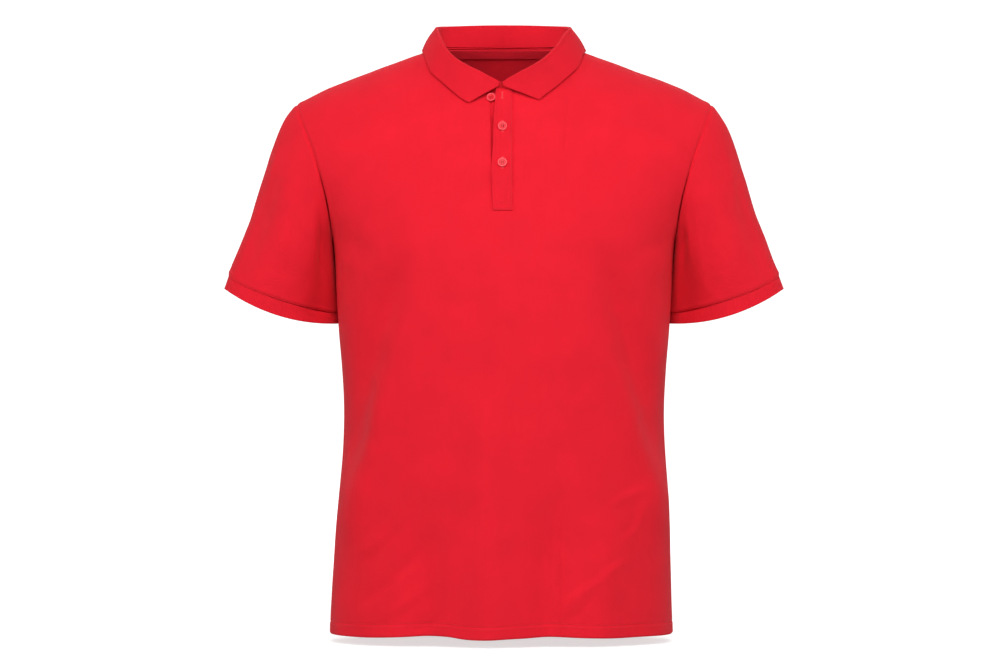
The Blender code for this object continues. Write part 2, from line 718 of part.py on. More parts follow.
def build_button(name, x, z, out, finish):
    """A small round button with a raised rim and a shallow dish."""
    centre = on_body(x, z, FRONT, out)
    out_way = body_normal(np.asarray(x, float), np.asarray(z, float), FRONT)
    side_way = unit(np.cross(np.array([0.0, 0.0, 1.0]), out_way))
    up_way = np.cross(out_way, side_way)
    profile = [
        (0.80, 0.0),
        (0.97, 0.25),
        (1.0, 0.55),
        (0.93, 0.95),
        (0.82, 1.0),
        (0.68, 0.72),
    ]
    points = [centre]
    for radius, height in profile:
        for n in range(BUTTON_SIDES):
            turn = 2 * pi * n / BUTTON_SIDES
            round_way = cos(turn) * side_way + sin(turn) * up_way
            points.append(centre + BUTTON_RADIUS * radius * round_way + BUTTON_THICK * height * out_way)
    points.append(centre + BUTTON_THICK * 0.68 * out_way)
    faces = []
    for ring in range(len(profile) - 1):
        for n in range(BUTTON_SIDES):
            a = 1 + ring * BUTTON_SIDES + n
            b = 1 + ring * BUTTON_SIDES + (n + 1) % BUTTON_SIDES
            faces.append((a, b, b + BUTTON_SIDES, a + BUTTON_SIDES))
    top_ring = 1 + (len(profile) - 1) * BUTTON_SIDES
    for n in range(BUTTON_SIDES):
        k = (n + 1) % BUTTON_SIDES
        faces.append((0, 1 + k, 1 + n))
        faces.append((len(points) - 1, top_ring + n, top_ring + k))
    return solid(name, points, faces, finish)


def clear_scene():
    for made in list(bpy.data.objects):
        bpy.data.objects.remove(made, do_unlink=True)


def main():
    clear_scene()
    pique = material("pique", (0.80, 0.022, 0.042), 0.85, 0.3)
    rib = material("rib_knit", (0.74, 0.020, 0.038), 0.88, 0.3)
    plastic = material("button_plastic", (0.84, 0.075, 0.10), 0.35)

    sleeve = sleeve_grid()
    panels = {face: panel_grid(face) for face in (FRONT, BACK)}
    seams = {face: armhole_seam(panels[face], sleeve, face) for face in (FRONT, BACK)}

    across = panel_columns(FRONT)
    window_left = int(np.argmin(np.abs(across + NECK_HALF_WIDTH * sin(radians(15.0)) / SHOULDER_POINT_X)))
    first_row = len(panels[FRONT]) - 1 - ARMHOLE_STEPS + WINDOW_ROWS
    window = {(row, window_left) for row in range(first_row, len(panels[FRONT]) - 1)}
    build_panel("front", FRONT, panels[FRONT], seams[FRONT], pique, window)
    build_panel("back", BACK, panels[BACK], seams[BACK], pique)
    for side in (1, -1):
        build_sleeve(side, sleeve, (seams[FRONT], seams[BACK]), pique)
        build_cuff(side, rib)
    build_collar(rib)
    build_placket(pique)
    build_neck_tape(pique)
    for name, x, z, out in BUTTONS:
        build_button(name, x, z, out, plastic)


main()
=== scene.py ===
# %% [markdown]
# # A red cotton polo shirt
# The shirt stands filled out, as if someone wore it, but it is empty inside. Its packed
# solids already hold the true sizes. Here every piece of cloth is made again on the same
# form with many more points, so that it can carry seams, stitches, folds and the knit.
# Sizes are in millimetres, and MM turns them to Blender's metres.

# %% Load the fixed frame
from math import cos, pi, radians, sin

import bmesh
import bpy
import numpy as np
from mathutils import Matrix, Vector, noise


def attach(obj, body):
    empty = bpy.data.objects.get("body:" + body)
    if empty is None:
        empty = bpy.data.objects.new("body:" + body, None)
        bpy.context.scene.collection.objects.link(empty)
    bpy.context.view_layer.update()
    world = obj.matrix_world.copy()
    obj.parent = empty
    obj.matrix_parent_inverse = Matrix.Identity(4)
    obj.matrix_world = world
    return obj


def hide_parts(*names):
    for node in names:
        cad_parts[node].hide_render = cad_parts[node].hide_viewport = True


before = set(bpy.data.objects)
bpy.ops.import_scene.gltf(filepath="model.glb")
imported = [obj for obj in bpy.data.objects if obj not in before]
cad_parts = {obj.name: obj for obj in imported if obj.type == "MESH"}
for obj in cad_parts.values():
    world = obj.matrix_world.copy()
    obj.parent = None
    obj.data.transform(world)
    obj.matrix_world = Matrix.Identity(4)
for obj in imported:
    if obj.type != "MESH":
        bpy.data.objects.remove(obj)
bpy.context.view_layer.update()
print("nodes:", sorted(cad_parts))

MM = 0.001
FRONT = -1
BACK = 1

# %% [markdown]
# ## Small helpers
# Objects are linked to the scene by hand, and each finish is built from nodes. An input of
# a node takes either a plain value or the output of another node, so one function sets
# both.

# %% Helpers
WHITE = (1.0, 1.0, 1.0, 1.0)


def new_object(name, data):
    made = bpy.data.objects.new(name, data)
    bpy.context.scene.collection.objects.link(made)
    return made


def deselect():
    for item in bpy.context.selected_objects:
        item.select_set(False)


def feed(tree, node, inputs):
    """Set a node's inputs: an output is linked, and anything else is a plain value."""
    for key, value in inputs.items():
        if isinstance(value, bpy.types.NodeSocket):
            tree.links.new(value, node.inputs[key])
        else:
            node.inputs[key].default_value = value
    return node


def add_node(tree, kind, inputs=None, **settings):
    node = tree.nodes.new(kind)
    for key, value in settings.items():
        setattr(node, key, value)
    return feed(tree, node, inputs or {})


def new_material(name, roughness, specular):
    """A material, its node tree and its shader."""
    made = bpy.data.materials.new(name)
    made.use_nodes = True
    shader = made.node_tree.nodes["Principled BSDF"]
    feed(made.node_tree, shader, {"Roughness": roughness, "Specular IOR Level": specular})
    return made, made.node_tree, shader


# %% [markdown]
# ## The camera, the white sweep and the lights
# The shirt is seen straight from the front, from a little below the chest, through a long
# lens that hardly bends its lines. The floor and the wall behind are one white sheet with
# a curved corner, which is how a studio hides its horizon. It glows, and more so towards
# the back, so that it stays white behind the shirt. Its glow is kept off the matt cloth,
# because it would wash out the folds. One wide lamp in front and above lights the chest
# most and the hem least, and a weaker one at each side keeps the flanks from going black.
# A last one, high behind the shirt and out of the picture, lights its back.

# %% Camera
SHOULDER_ROW = 48.0
FRAME_ROWS = 672.0
FRAME_COLUMNS = 1008.0
MM_PER_PIXEL = 1.25
CAMERA_AWAY = 5.0
SENSOR = 36.0

camera_z = (SHOULDER_ROW - FRAME_ROWS / 2) * MM_PER_PIXEL * MM
frame_width = FRAME_COLUMNS * MM_PER_PIXEL * MM
camera_data = bpy.data.cameras.new("photo_camera")
camera_data.sensor_width = SENSOR
camera_data.lens = SENSOR * CAMERA_AWAY / frame_width
camera = new_object("photo_camera", camera_data)
camera.location = (0.0, -CAMERA_AWAY, camera_z)
camera.rotation_euler = (pi / 2, 0.0, 0.0)
bpy.context.scene.camera = camera
bpy.context.scene.view_settings.view_transform = "Standard"
print("lens", round(camera_data.lens, 1), "mm")

# %% Sweep
FLOOR_Z = -0.741
SWEEP_HALF = 16.0
SWEEP_FRONT = -16.0
SWEEP_BACK = 8.0
SWEEP_TOP = 9.0
SWEEP_CORNER = 2.4
CORNER_STEPS = 12
SWEEP_WHITE = (0.65, 0.65, 0.65, 1.0)
# The glow of the floor in front and of the wall, and where on Y it grows between the two
GLOW_NEAR = 0.66
GLOW_FAR = 1.0
GLOW_FROM_Y = 0.3
GLOW_TO_Y = 2.5

profile = [(SWEEP_FRONT, FLOOR_Z)]
for step in range(CORNER_STEPS + 1):
    turn = radians(90.0 * step / CORNER_STEPS)
    corner_y = SWEEP_BACK - SWEEP_CORNER * (1 - sin(turn))
    profile.append((corner_y, FLOOR_Z + SWEEP_CORNER * (1 - cos(turn))))
profile.append((SWEEP_BACK, SWEEP_TOP))
count = len(profile)
sweep_points = [(side * SWEEP_HALF, y, z) for side in (-1, 1) for y, z in profile]
sweep_faces = [(n, n + 1, n + 1 + count, n + count) for n in range(count - 1)]
sweep_mesh = bpy.data.meshes.new("sweep")
sweep_mesh.from_pydata(sweep_points, [], sweep_faces)
sweep_mesh.shade_smooth()
sweep = new_object("sweep", sweep_mesh)
white, white_tree, white_shader = new_material("sweep_white", 0.9, 0.0)
where = add_node(white_tree, "ShaderNodeTexCoord").outputs["Object"]
way_back = add_node(white_tree, "ShaderNodeSeparateXYZ", {0: where}).outputs["Y"]
glow = add_node(white_tree, "ShaderNodeMapRange", {
    "Value": way_back,
    "From Min": GLOW_FROM_Y,
    "From Max": GLOW_TO_Y,
    "To Min": GLOW_NEAR,
    "To Max": GLOW_FAR,
})
feed(white_tree, white_shader, {
    "Base Color": SWEEP_WHITE,
    "Emission Color": WHITE,
    "Emission Strength": glow.outputs["Result"],
})
sweep_mesh.materials.append(white)
sweep.visible_diffuse = False

# %% Lights
AIR_LIGHT = 0.25
# Name, place, the point it faces, width in metres, watts
LAMPS = [
    ("key", (0.05, -2.75, 1.25), (0.0, 0.0, -0.34), 2.0, 78.0),
    ("fill_left", (-3.0, -1.8, 0.2), (0.0, 0.0, -0.40), 1.8, 34.0),
    ("fill_right", (3.0, -1.8, 0.2), (0.0, 0.0, -0.40), 1.8, 31.0),
    ("back", (0.0, 3.0, 2.4), (0.0, 0.0, -0.30), 2.0, 44.0),
]
for lamp_name, place, aim, size, watts in LAMPS:
    lamp_data = bpy.data.lights.new(lamp_name, "AREA")
    lamp_data.size = size
    lamp_data.energy = watts
    lamp = new_object(lamp_name, lamp_data)
    lamp.location = place
    lamp.rotation_euler = (Vector(aim) - Vector(place)).to_track_quat("-Z", "Y").to_euler()

world = bpy.data.worlds.new("studio_air")
world.use_nodes = True
background = world.node_tree.nodes["Background"]
feed(world.node_tree, background, {"Color": WHITE, "Strength": AIR_LIGHT})
bpy.context.scene.world = world

# %% [markdown]
# ## The form of the shirt
# A garment that hangs from shoulders is round like a barrel at the chest and turns over
# into the shoulder seam. Each table below is read through a smooth curve: the body's half
# width and depth at a few heights, the shoulder seam, and the armhole as it shows from
# the front. With these the outer face of the cloth is known at every place.

# %% Tables of the form
CLOTH = 1.6
HEM_CLOTH = 2.6
RIB = 2.0
COLLAR_CLOTH = 1.8
HEM_Z = -733.0
HEM_DEPTH = 15.0
ARMPIT_Z = -240.0
SHOULDER_POINT_X = 259.0
SHOULDER_POINT_Z = -70.5
NECK_HALF_WIDTH = 85.0
NECK_FRONT_DROP = 58.0
NECK_BACK_RISE = 2.5
SHOULDER_ROLL = 120.0
SECTION_POWER = 2.3
EDGE_POWER = 10.0

# Height, half width, depth in front, depth behind
TORSO = [
    (-750.0, 217.5, 126.0, 118.0),
    (-700.0, 216.0, 124.0, 116.0),
    (-652.0, 213.0, 122.0, 114.0),
    (-602.0, 209.5, 121.0, 112.0),
    (-552.0, 205.0, 121.0, 110.0),
    (-502.0, 201.5, 122.0, 109.0),
    (-452.0, 200.0, 124.0, 109.0),
    (-402.0, 202.0, 126.0, 110.0),
    (-352.0, 206.0, 128.0, 113.0),
    (-300.0, 209.0, 129.0, 117.0),
    (-255.0, 211.5, 128.0, 120.0),
    (-240.0, 213.5, 127.0, 121.0),
]
YOKE = [
    (-240.0, 213.5, 127.0, 121.0),
    (-234.0, 216.5, 126.5, 121.3),
    (-220.0, 223.0, 125.0, 122.0),
    (-198.0, 236.5, 121.0, 123.0),
    (-155.0, 263.5, 112.0, 122.0),
    (-117.0, 282.0, 102.0, 117.0),
    (-90.0, 291.0, 93.0, 110.0),
    (-58.0, 297.0, 81.5, 99.0),
    (-20.0, 300.0, 63.0, 83.0),
    (0.0, 300.0, 55.0, 77.0),
    (40.0, 300.0, 50.0, 70.0),
]
# Height and half width away from the side seams
CHEST = [
    (-750.0, 217.5),
    (-602.0, 210.0),
    (-502.0, 203.0),
    (-452.0, 202.5),
    (-402.0, 205.5),
    (-352.0, 210.0),
    (-300.0, 217.0),
    (-270.0, 222.0),
    (-240.0, 229.0),
    (-211.0, 238.5),
    (-180.0, 251.0),
    (-155.0, 263.5),
    (-117.0, 282.0),
    (-90.0, 291.0),
    (-58.0, 297.0),
    (0.0, 300.0),
    (40.0, 300.0),
]
# Distance from the centre, height, distance behind the origin
SHOULDER = [
    (0.0, 33.0, 2.0),
    (85.0, 0.0, 2.0),
    (107.5, -8.6, 2.5),
    (150.0, -24.0, 3.5),
    (180.0, -35.2, 4.5),
    (204.0, -44.3, 5.0),
    (228.0, -54.3, 5.5),
    (248.0, -64.6, 6.0),
    (259.0, -70.5, 6.0),
]
# Height, distance from the centre
ARMHOLE = [
    (-240.0, 213.5),
    (-211.0, 216.5),
    (-191.0, 220.0),
    (-167.0, 226.0),
    (-144.0, 232.5),
    (-117.0, 242.0),
    (-96.0, 250.5),
    (-70.5, 259.0),
]


# %% Curves through the tables
def curve_through(keys, values):
    """A smooth curve through a table's rows; values may be numbers or points."""
    keys = np.asarray(keys, float)
    values = np.asarray(values, float)
    slopes = np.gradient(values, keys, axis=0)

    def read(at):
        at = np.clip(np.asarray(at, float), keys[0], keys[-1])
        i = np.clip(np.searchsorted(keys, at) - 1, 0, len(keys) - 2)
        step = keys[i + 1] - keys[i]
        t = (at - keys[i]) / step
        if values.ndim > 1:
            step, t = step[..., None], t[..., None]
        start = (1 + 2 * t) * (1 - t) ** 2 * values[i] + t * (1 - t) ** 2 * step * slopes[i]
        end = t ** 2 * (3 - 2 * t) * values[i + 1] + t ** 2 * (t - 1) * step * slopes[i + 1]
        return start + end

    return read


def table_curve(table, column):
    return curve_through([row[0] for row in table], [row[column] for row in table])


DEPTHS = TORSO[:-1] + YOKE
torso_width = table_curve(TORSO, 1)
yoke_width = table_curve(YOKE, 1)
chest_width = table_curve(CHEST, 1)
depth_of = {FRONT: table_curve(DEPTHS, 2), BACK: table_curve(DEPTHS, 3)}
shoulder_z = table_curve(SHOULDER, 1)
shoulder_y = table_curve(SHOULDER, 2)
armhole_x = table_curve(ARMHOLE, 1)
neck_drop = {FRONT: NECK_FRONT_DROP, BACK: -NECK_BACK_RISE}


def unit(vectors):
    vectors = np.asarray(vectors, float)
    return vectors / np.maximum(np.linalg.norm(vectors, axis=-1, keepdims=True), 1e-12)


def smooth_step(t):
    t = np.clip(t, 0.0, 1.0)
    return t * t * (3 - 2 * t)


def bump(distance, width):
    """A soft round ridge across a line: 1 on the line, fading to 0 past its half width."""
    return np.exp(-(np.asarray(distance, float) / width) ** 2)


# %% The body's outer face
def section_width(x, z):
    below = z < ARMPIT_Z
    seam = np.where(below, torso_width(z), yoke_width(z))
    edge = np.where(below, torso_width(z), armhole_x(z))
    share = np.clip(x / edge, 0.0, 1.0) ** EDGE_POWER
    return chest_width(z) * (1 - share) + seam * share


def body_y(x, z, face):
    """How far forward or back the cloth lies at a place seen from the front."""
    x = np.abs(np.asarray(x, float))
    z = np.asarray(z, float)
    across = np.clip(x / section_width(x, z), 0.0, 1.0)
    chest = face * depth_of[face](z) * (1 - across ** SECTION_POWER) ** (1 / SECTION_POWER)
    turned = np.clip((shoulder_z(x) - z) / SHOULDER_ROLL, 0.0, 1.0)
    roll = np.sqrt(1 - (1 - turned) ** 2)
    return chest * roll + shoulder_y(x) * (1 - roll)


def body_z(x, y, face):
    """The height of the shoulder slope above a place in plan, found in a few rounds."""
    seam = float(shoulder_y(abs(x)))
    ridge = float(shoulder_z(abs(x)))
    z = ridge - 20.0
    for _ in range(6):
        roll = min(max((y - seam) / (face * float(depth_of[face](z)) - seam), 0.0), 0.99)
        z = ridge - SHOULDER_ROLL * (1 - (1 - roll ** 2) ** 0.5)
    return z


def body_normal(x, z, face):
    e = 1.0
    slope_x = (body_y(x + e, z, face) - body_y(x - e, z, face)) / (2 * e)
    slope_z = (body_y(x, z + e, face) - body_y(x, z - e, face)) / (2 * e)
    return unit(np.stack([-face * slope_x, face * np.ones_like(slope_x), -face * slope_z], axis=-1))


# %% [markdown]
# ## Folds and creases
# Soft cotton never hangs quite smooth. The long troughs that fall from the armpits, the
# flutes above the hem and the small crossed creases near the waist are listed one by one.
# Each is a short curve on the cloth with a width and a rise, and it fades at both ends.
# A simulation would give other folds each time it is changed, so it isn't used here.

# %% Folds of the body
# Face, x and height at the top, the middle and the lower end, half width, rise
FOLDS = [
    (FRONT, -120.0, -235.0, -170.0, -395.0, -196.0, -560.0, 21.0, -12.8),
    (FRONT, 118.0, -230.0, 165.0, -395.0, 196.0, -560.0, 21.0, -12.8),
    (FRONT, -150.0, -385.0, -166.0, -500.0, -204.0, -650.0, 20.0, 8.0),
    (FRONT, 146.0, -385.0, 175.0, -510.0, 204.0, -640.0, 20.0, 8.0),
    (FRONT, -24.0, -400.0, -23.0, -570.0, -21.0, -745.0, 27.0, 9.6),
    (FRONT, -98.0, -540.0, -97.0, -650.0, -96.0, -745.0, 22.0, -9.6),
    (FRONT, 56.0, -540.0, 55.0, -650.0, 54.0, -745.0, 22.0, -9.6),
    (FRONT, 128.0, -570.0, 125.0, -660.0, 122.0, -745.0, 24.0, 6.4),
    (BACK, -110.0, -150.0, -150.0, -370.0, -188.0, -560.0, 22.0, -12.8),
    (BACK, 116.0, -165.0, 158.0, -380.0, 190.0, -575.0, 22.0, -12.8),
    (BACK, -60.0, -330.0, -48.0, -540.0, -40.0, -745.0, 26.0, 9.6),
    (BACK, 30.0, -360.0, 38.0, -560.0, 42.0, -745.0, 26.0, -9.6),
    (BACK, 105.0, -450.0, 112.0, -600.0, 118.0, -745.0, 26.0, 9.6),
]
FOLD_FADE = 90.0
# The hem hangs a little higher than its solid and waves: x seen from the front, its climb
HEM_WAVES = [
    (-214.0, 2.5),
    (-161.0, 2.8),
    (-124.0, 4.6),
    (-95.0, 6.4),
    (-67.0, 5.4),
    (-49.0, 2.8),
    (-21.0, 1.8),
    (8.0, 3.2),
    (26.0, 4.0),
    (55.0, 5.6),
    (101.0, 3.8),
    (139.0, 2.8),
    (176.0, 3.2),
    (214.0, 2.5),
]
HEM_WAVE_REACH = 110.0
# The wearer's left side hangs a little slimmer towards the hem: share, from, over
SLIM_SHARE = 0.032
SLIM_FROM = -500.0
SLIM_OVER = 230.0
# Small creases: face, x and height of one end, of the other, sideways bow, half width, rise
CREASES = [
    (FRONT, 66.0, -705.0, 128.0, -655.0, 5.0, 4.5, 1.7),
    (FRONT, 78.0, -712.0, 118.0, -668.0, -4.0, 5.0, -1.8),
    (FRONT, 112.0, -668.0, 160.0, -632.0, 4.0, 4.0, 1.5),
    (FRONT, 128.0, -652.0, 118.0, -600.0, 3.0, 5.0, -1.4),
    (FRONT, 146.0, -618.0, 176.0, -560.0, -4.0, 5.0, 1.7),
    (FRONT, 150.0, -606.0, 168.0, -575.0, -3.0, 4.0, -1.5),
    (FRONT, 128.0, -572.0, 182.0, -548.0, 5.0, 5.0, 1.2),
    (FRONT, 96.0, -640.0, 70.0, -604.0, 4.0, 6.0, -1.0),
    (FRONT, -96.0, -608.0, -196.0, -700.0, 10.0, 7.0, -1.8),
    (FRONT, -84.0, -650.0, -178.0, -716.0, 8.0, 6.0, 1.4),
    (FRONT, -118.0, -566.0, -200.0, -640.0, 8.0, 7.0, 1.5),
    (FRONT, -60.0, -690.0, -120.0, -722.0, 4.0, 5.0, -1.2),
    (FRONT, -36.0, -88.0, -20.0, -112.0, 3.0, 3.0, -1.2),
    (FRONT, -60.0, -98.0, -34.0, -150.0, 5.0, 8.0, -1.0),
    (FRONT, -105.0, -4.0, -106.0, -32.0, 1.5, 3.2, -1.5),
    (FRONT, 104.0, -6.0, 101.0, -34.0, -1.5, 3.0, -1.1),
    (FRONT, -208.0, -246.0, -150.0, -262.0, 6.0, 9.0, -0.9),
    (FRONT, -206.0, -262.0, -164.0, -300.0, 5.0, 9.0, 0.8),
    (FRONT, 208.0, -246.0, 156.0, -268.0, -6.0, 9.0, -0.9),
    (FRONT, 206.0, -266.0, 170.0, -310.0, -5.0, 9.0, 0.7),
    (FRONT, 198.0, -398.0, 160.0, -432.0, -5.0, 7.0, -0.7),
    (FRONT, -198.0, -410.0, -158.0, -438.0, 5.0, 7.0, -0.7),
    (FRONT, 196.0, -440.0, 150.0, -470.0, -4.0, 7.0, 0.6),
    (BACK, -206.0, -250.0, -140.0, -290.0, 8.0, 8.0, -2.2),
    (BACK, 206.0, -250.0, 146.0, -282.0, -8.0, 8.0, -2.2),
    (BACK, -200.0, -420.0, -120.0, -470.0, 8.0, 8.0, 1.6),
    (BACK, 200.0, -404.0, 128.0, -452.0, -8.0, 8.0, 1.5),
    (BACK, -150.0, -560.0, -70.0, -640.0, 8.0, 7.0, -1.3),
    (BACK, 84.0, -560.0, 166.0, -646.0, 8.0, 7.0, 1.2),
    (BACK, 60.0, -620.0, 130.0, -700.0, -6.0, 6.0, -1.0),
    (BACK, -110.0, -120.0, -40.0, -160.0, 6.0, 12.0, -1.4),
    (BACK, 112.0, -120.0, 44.0, -156.0, -6.0, 12.0, -1.4),
]
# Where a crease fades at each end, and the softer shoulder beside it: share, place, width
CREASE_FADE = 0.35
CREASE_SHOULDER = (0.45, 1.9, 1.2)

hem_wave = table_curve(HEM_WAVES, 1)


def fold_rise(x, z, face):
    rise = np.zeros_like(x)
    for side, x1, z1, x2, z2, x3, z3, width, height in FOLDS:
        if side != face:
            continue
        path = curve_through([z3, z2, z1], [x3, x2, x1])
        lean = (x1 - x3) / (z1 - z3)
        away = (x - path(z)) / (1 + lean ** 2) ** 0.5
        fade_low = 1.0 if z3 < HEM_Z else smooth_step((z - z3) / FOLD_FADE)
        rise += height * bump(away, width) * smooth_step((z1 - z) / FOLD_FADE) * fade_low
    return rise


def crease_rise(x, z, face):
    """Small creases: a thin ridge or trough with a softer shoulder on one side."""
    rise = np.zeros_like(x)
    share, aside, wider = CREASE_SHOULDER
    for side, x1, z1, x2, z2, bow, width, height in CREASES:
        if side != face:
            continue
        run = np.array([x2 - x1, z2 - z1])
        length = float(np.hypot(*run))
        ahead = run / length
        t = ((x - x1) * ahead[0] + (z - z1) * ahead[1]) / length
        off = (x - x1) * -ahead[1] + (z - z1) * ahead[0] - bow * np.sin(pi * np.clip(t, 0, 1))
        fade = smooth_step(t / CREASE_FADE) * smooth_step((1 - t) / CREASE_FADE)
        rise += height * fade * (bump(off, width) - share * bump(off - aside * width, width * wider))
    return rise


def ripple(points, spacing, seed):
    """Slow, uneven waves of the cloth, the same on every run."""
    flat = points.reshape(-1, 3) / spacing + seed
    waves = [noise.noise(Vector(p)) for p in flat.tolist()]
    return np.array(waves).reshape(points.shape[:-1])


def flat_ripple(x, z, spacing, seed):
    return ripple(np.stack([x, 0 * x, z], -1), spacing, seed)


# %% [markdown]
# ## A wall of cloth
# A cloth piece is a grid of points on its outer face. The same grid moved in by the
# cloth's thickness is its inner face, and the open edges are closed between the two, so
# the piece is one shell with real thickness. Solidify could do this too, but here the
# thickness changes at hems and edges. The grid also gives a UV map in real metres, along
# and across the cloth, which the knit pattern follows.

# %% Wall helper
# Edges bent by more degrees than this stay crisp
SHARP_FROM = 60.0


def grid_normals(points, wrap=False):
    down = np.gradient(points, axis=0)
    if wrap:
        along = (np.roll(points, -1, axis=1) - np.roll(points, 1, axis=1)) / 2
    else:
        along = np.gradient(points, axis=1)
    return unit(np.cross(along, down))


def facing(normals, face):
    """The same directions, turned so that they point out of the front or the back."""
    return normals * (np.sign(np.mean(normals[..., 1])) * face)


def run_lengths(points, axis):
    """Distance along the cloth from the first row or column of a grid."""
    steps = np.linalg.norm(np.diff(points, axis=axis), axis=-1)
    start = np.zeros_like(np.take(steps, [0], axis=axis))
    return np.cumsum(np.concatenate([start, steps], axis=axis), axis=axis)


def pinch_rows(outer, inner, pinches):
    """Bring the two faces closer along some rows, so that the edge is thin and rounded."""
    for row, share in pinches:
        outer[row], inner[row] = (
            outer[row] + (inner[row] - outer[row]) * share,
            inner[row] + (outer[row] - inner[row]) * share,
        )


def cloth(name, outer, inner, wrap=False, gaps=()):
    """One shell between an outer and an inner grid, with a UV map in metres."""
    rows, cols = outer.shape[:2]
    last = cols if wrap else cols - 1
    closed = np.concatenate([outer, outer[:, :1]], axis=1) if wrap else outer
    along = run_lengths(closed, 1)
    along = (along - along[:, -1:] / 2) * MM
    up = run_lengths(closed, 0) * MM
    quads = [
        (i, j)
        for i in range(rows - 1)
        for j in range(last)
        if (i, j) not in gaps
    ]
    count = rows * cols
    faces, maps = [], []
    edges = set()
    for i, j in quads:
        k = (j + 1) % cols
        corners = [i * cols + j, i * cols + k, (i + 1) * cols + k, (i + 1) * cols + j]
        places = [(i, j), (i, j + 1), (i + 1, j + 1), (i + 1, j)]
        uv = [(along[p], up[p]) for p in places]
        faces.append(corners)
        maps.append(uv)
        faces.append([c + count for c in reversed(corners)])
        maps.append(uv[::-1])
        edges.update(zip(corners, corners[1:] + corners[:1]))
    for a, b in sorted(edges):
        if (b, a) not in edges:
            faces.append([b, a, a + count, b + count])
            here, there = [(along[p], up[p]) for p in (divmod(a, cols), divmod(b, cols))]
            maps.append([there, here, here, there])
    points = np.concatenate([outer.reshape(-1, 3), inner.reshape(-1, 3)]) * MM
    mesh = bpy.data.meshes.new(name)
    mesh.from_pydata(points.tolist(), [], faces)
    layer = mesh.uv_layers.new(name="cloth_metres")
    layer.data.foreach_set("uv", [float(c) for uv in maps for pair in uv for c in pair])
    shape = bmesh.new()
    shape.from_mesh(mesh)
    loose = [v for v in shape.verts if not v.link_faces]
    bmesh.ops.delete(shape, geom=loose, context="VERTS")
    bmesh.ops.recalc_face_normals(shape, faces=shape.faces[:])
    area = sum(f.calc_area() for f in shape.faces) / 2
    shape.to_mesh(mesh)
    shape.free()
    mesh.shade_smooth()
    mesh.set_sharp_from_angle(angle=radians(SHARP_FROM))
    print(name, "cloth area", round(area, 4), "m2,", len(mesh.polygons), "faces")
    return new_object(name, mesh)


# %% [markdown]
# ## The finishes
# Pique is a knit with a raised cell every millimetre or so, in staggered rows. It is too
# fine to model, so it is a bump: two sine waves on the cloth's own UV map, with a little
# noise for the yarn. Cotton also has a short nap that catches light at grazing angles,
# which the sheen lobe gives. The rib of the cuffs and the flat knit of the collar use
# the same recipe with other waves.

# %% Material helpers
COTTON_ROUGHNESS = 0.85
COTTON_SPECULAR = 0.10
NAP = {"Sheen Weight": 0.05, "Sheen Roughness": 0.45, "Sheen Tint": (1.0, 0.62, 0.64, 1.0)}
YARN_SCALE = 1900.0
YARN_RISE = 1.6
BUMP_STRENGTH = 0.5
# Noise of the dye, and of the streaks along the yarn: scale, detail, share of the shade
DYE = (26.0, 5.0, 0.8)
STREAK = (1.0, 3.0, 0.2)
STREAK_STRETCH = (420.0, 24.0, 1.0)
CELL_SHARE = 0.10
# The darkest and the lightest shade of a dyed cloth, as shares of its colour
DYE_DARK = 0.88
DYE_LIGHT = 1.10


def math_node(tree, operation, *values):
    return add_node(tree, "ShaderNodeMath", dict(enumerate(values)), operation=operation).outputs[0]


def wave(tree, coordinate, pitch):
    """A sine along one coordinate, one full wave for each pitch in metres."""
    return math_node(tree, "SINE", math_node(tree, "MULTIPLY", coordinate, 2 * pi / pitch))


def noise_node(tree, place, scale, detail=2.0):
    inputs = {"Vector": place, "Scale": scale, "Detail": detail}
    return add_node(tree, "ShaderNodeTexNoise", inputs).outputs["Fac"]


def tint(tree, shade, dark, light):
    """The colour between dark and light that a shade from 0 to 1 stands for."""
    inputs = {"Factor": shade, "A": (*dark, 1.0), "B": (*light, 1.0)}
    return add_node(tree, "ShaderNodeMix", inputs, data_type="RGBA").outputs["Result"]


def knit(name, color, cell, pattern, depth):
    """Knitted cotton: cell is (pitch across, pitch along) in metres, and pattern says how
    the two waves meet: as staggered cells, as a plain grid, or only the first as ribs."""
    made, tree, shader = new_material(name, COTTON_ROUGHNESS, COTTON_SPECULAR)
    feed(tree, shader, NAP)
    place = add_node(tree, "ShaderNodeUVMap", uv_map="cloth_metres").outputs["UV"]
    split = add_node(tree, "ShaderNodeSeparateXYZ", {0: place})
    across = wave(tree, split.outputs["X"], cell[0])
    along = wave(tree, split.outputs["Y"], cell[1])
    if pattern == "ribs":
        cells = across
    else:
        cells = math_node(tree, "MULTIPLY" if pattern == "cells" else "ADD", across, along)
    yarn = math_node(tree, "MULTIPLY", noise_node(tree, place, YARN_SCALE), YARN_RISE)
    raised = add_node(tree, "ShaderNodeBump", {
        "Strength": BUMP_STRENGTH,
        "Distance": depth,
        "Height": math_node(tree, "ADD", cells, yarn),
    })

    space = add_node(tree, "ShaderNodeTexCoord").outputs["Object"]
    stretched = add_node(tree, "ShaderNodeMapping", {"Vector": place, "Scale": STREAK_STRETCH})
    shares = [
        math_node(tree, "MULTIPLY", noise_node(tree, spot, scale, detail), share)
        for spot, (scale, detail, share) in ((space, DYE), (stretched.outputs["Vector"], STREAK))
    ]
    shade = math_node(tree, "ADD", *shares)
    shade = math_node(tree, "ADD", shade, math_node(tree, "MULTIPLY", cells, CELL_SHARE))
    dark, light = [[c * share for c in color] for share in (DYE_DARK, DYE_LIGHT)]
    feed(tree, shader, {"Normal": raised.outputs["Normal"], "Base Color": tint(tree, shade, dark, light)})
    return made


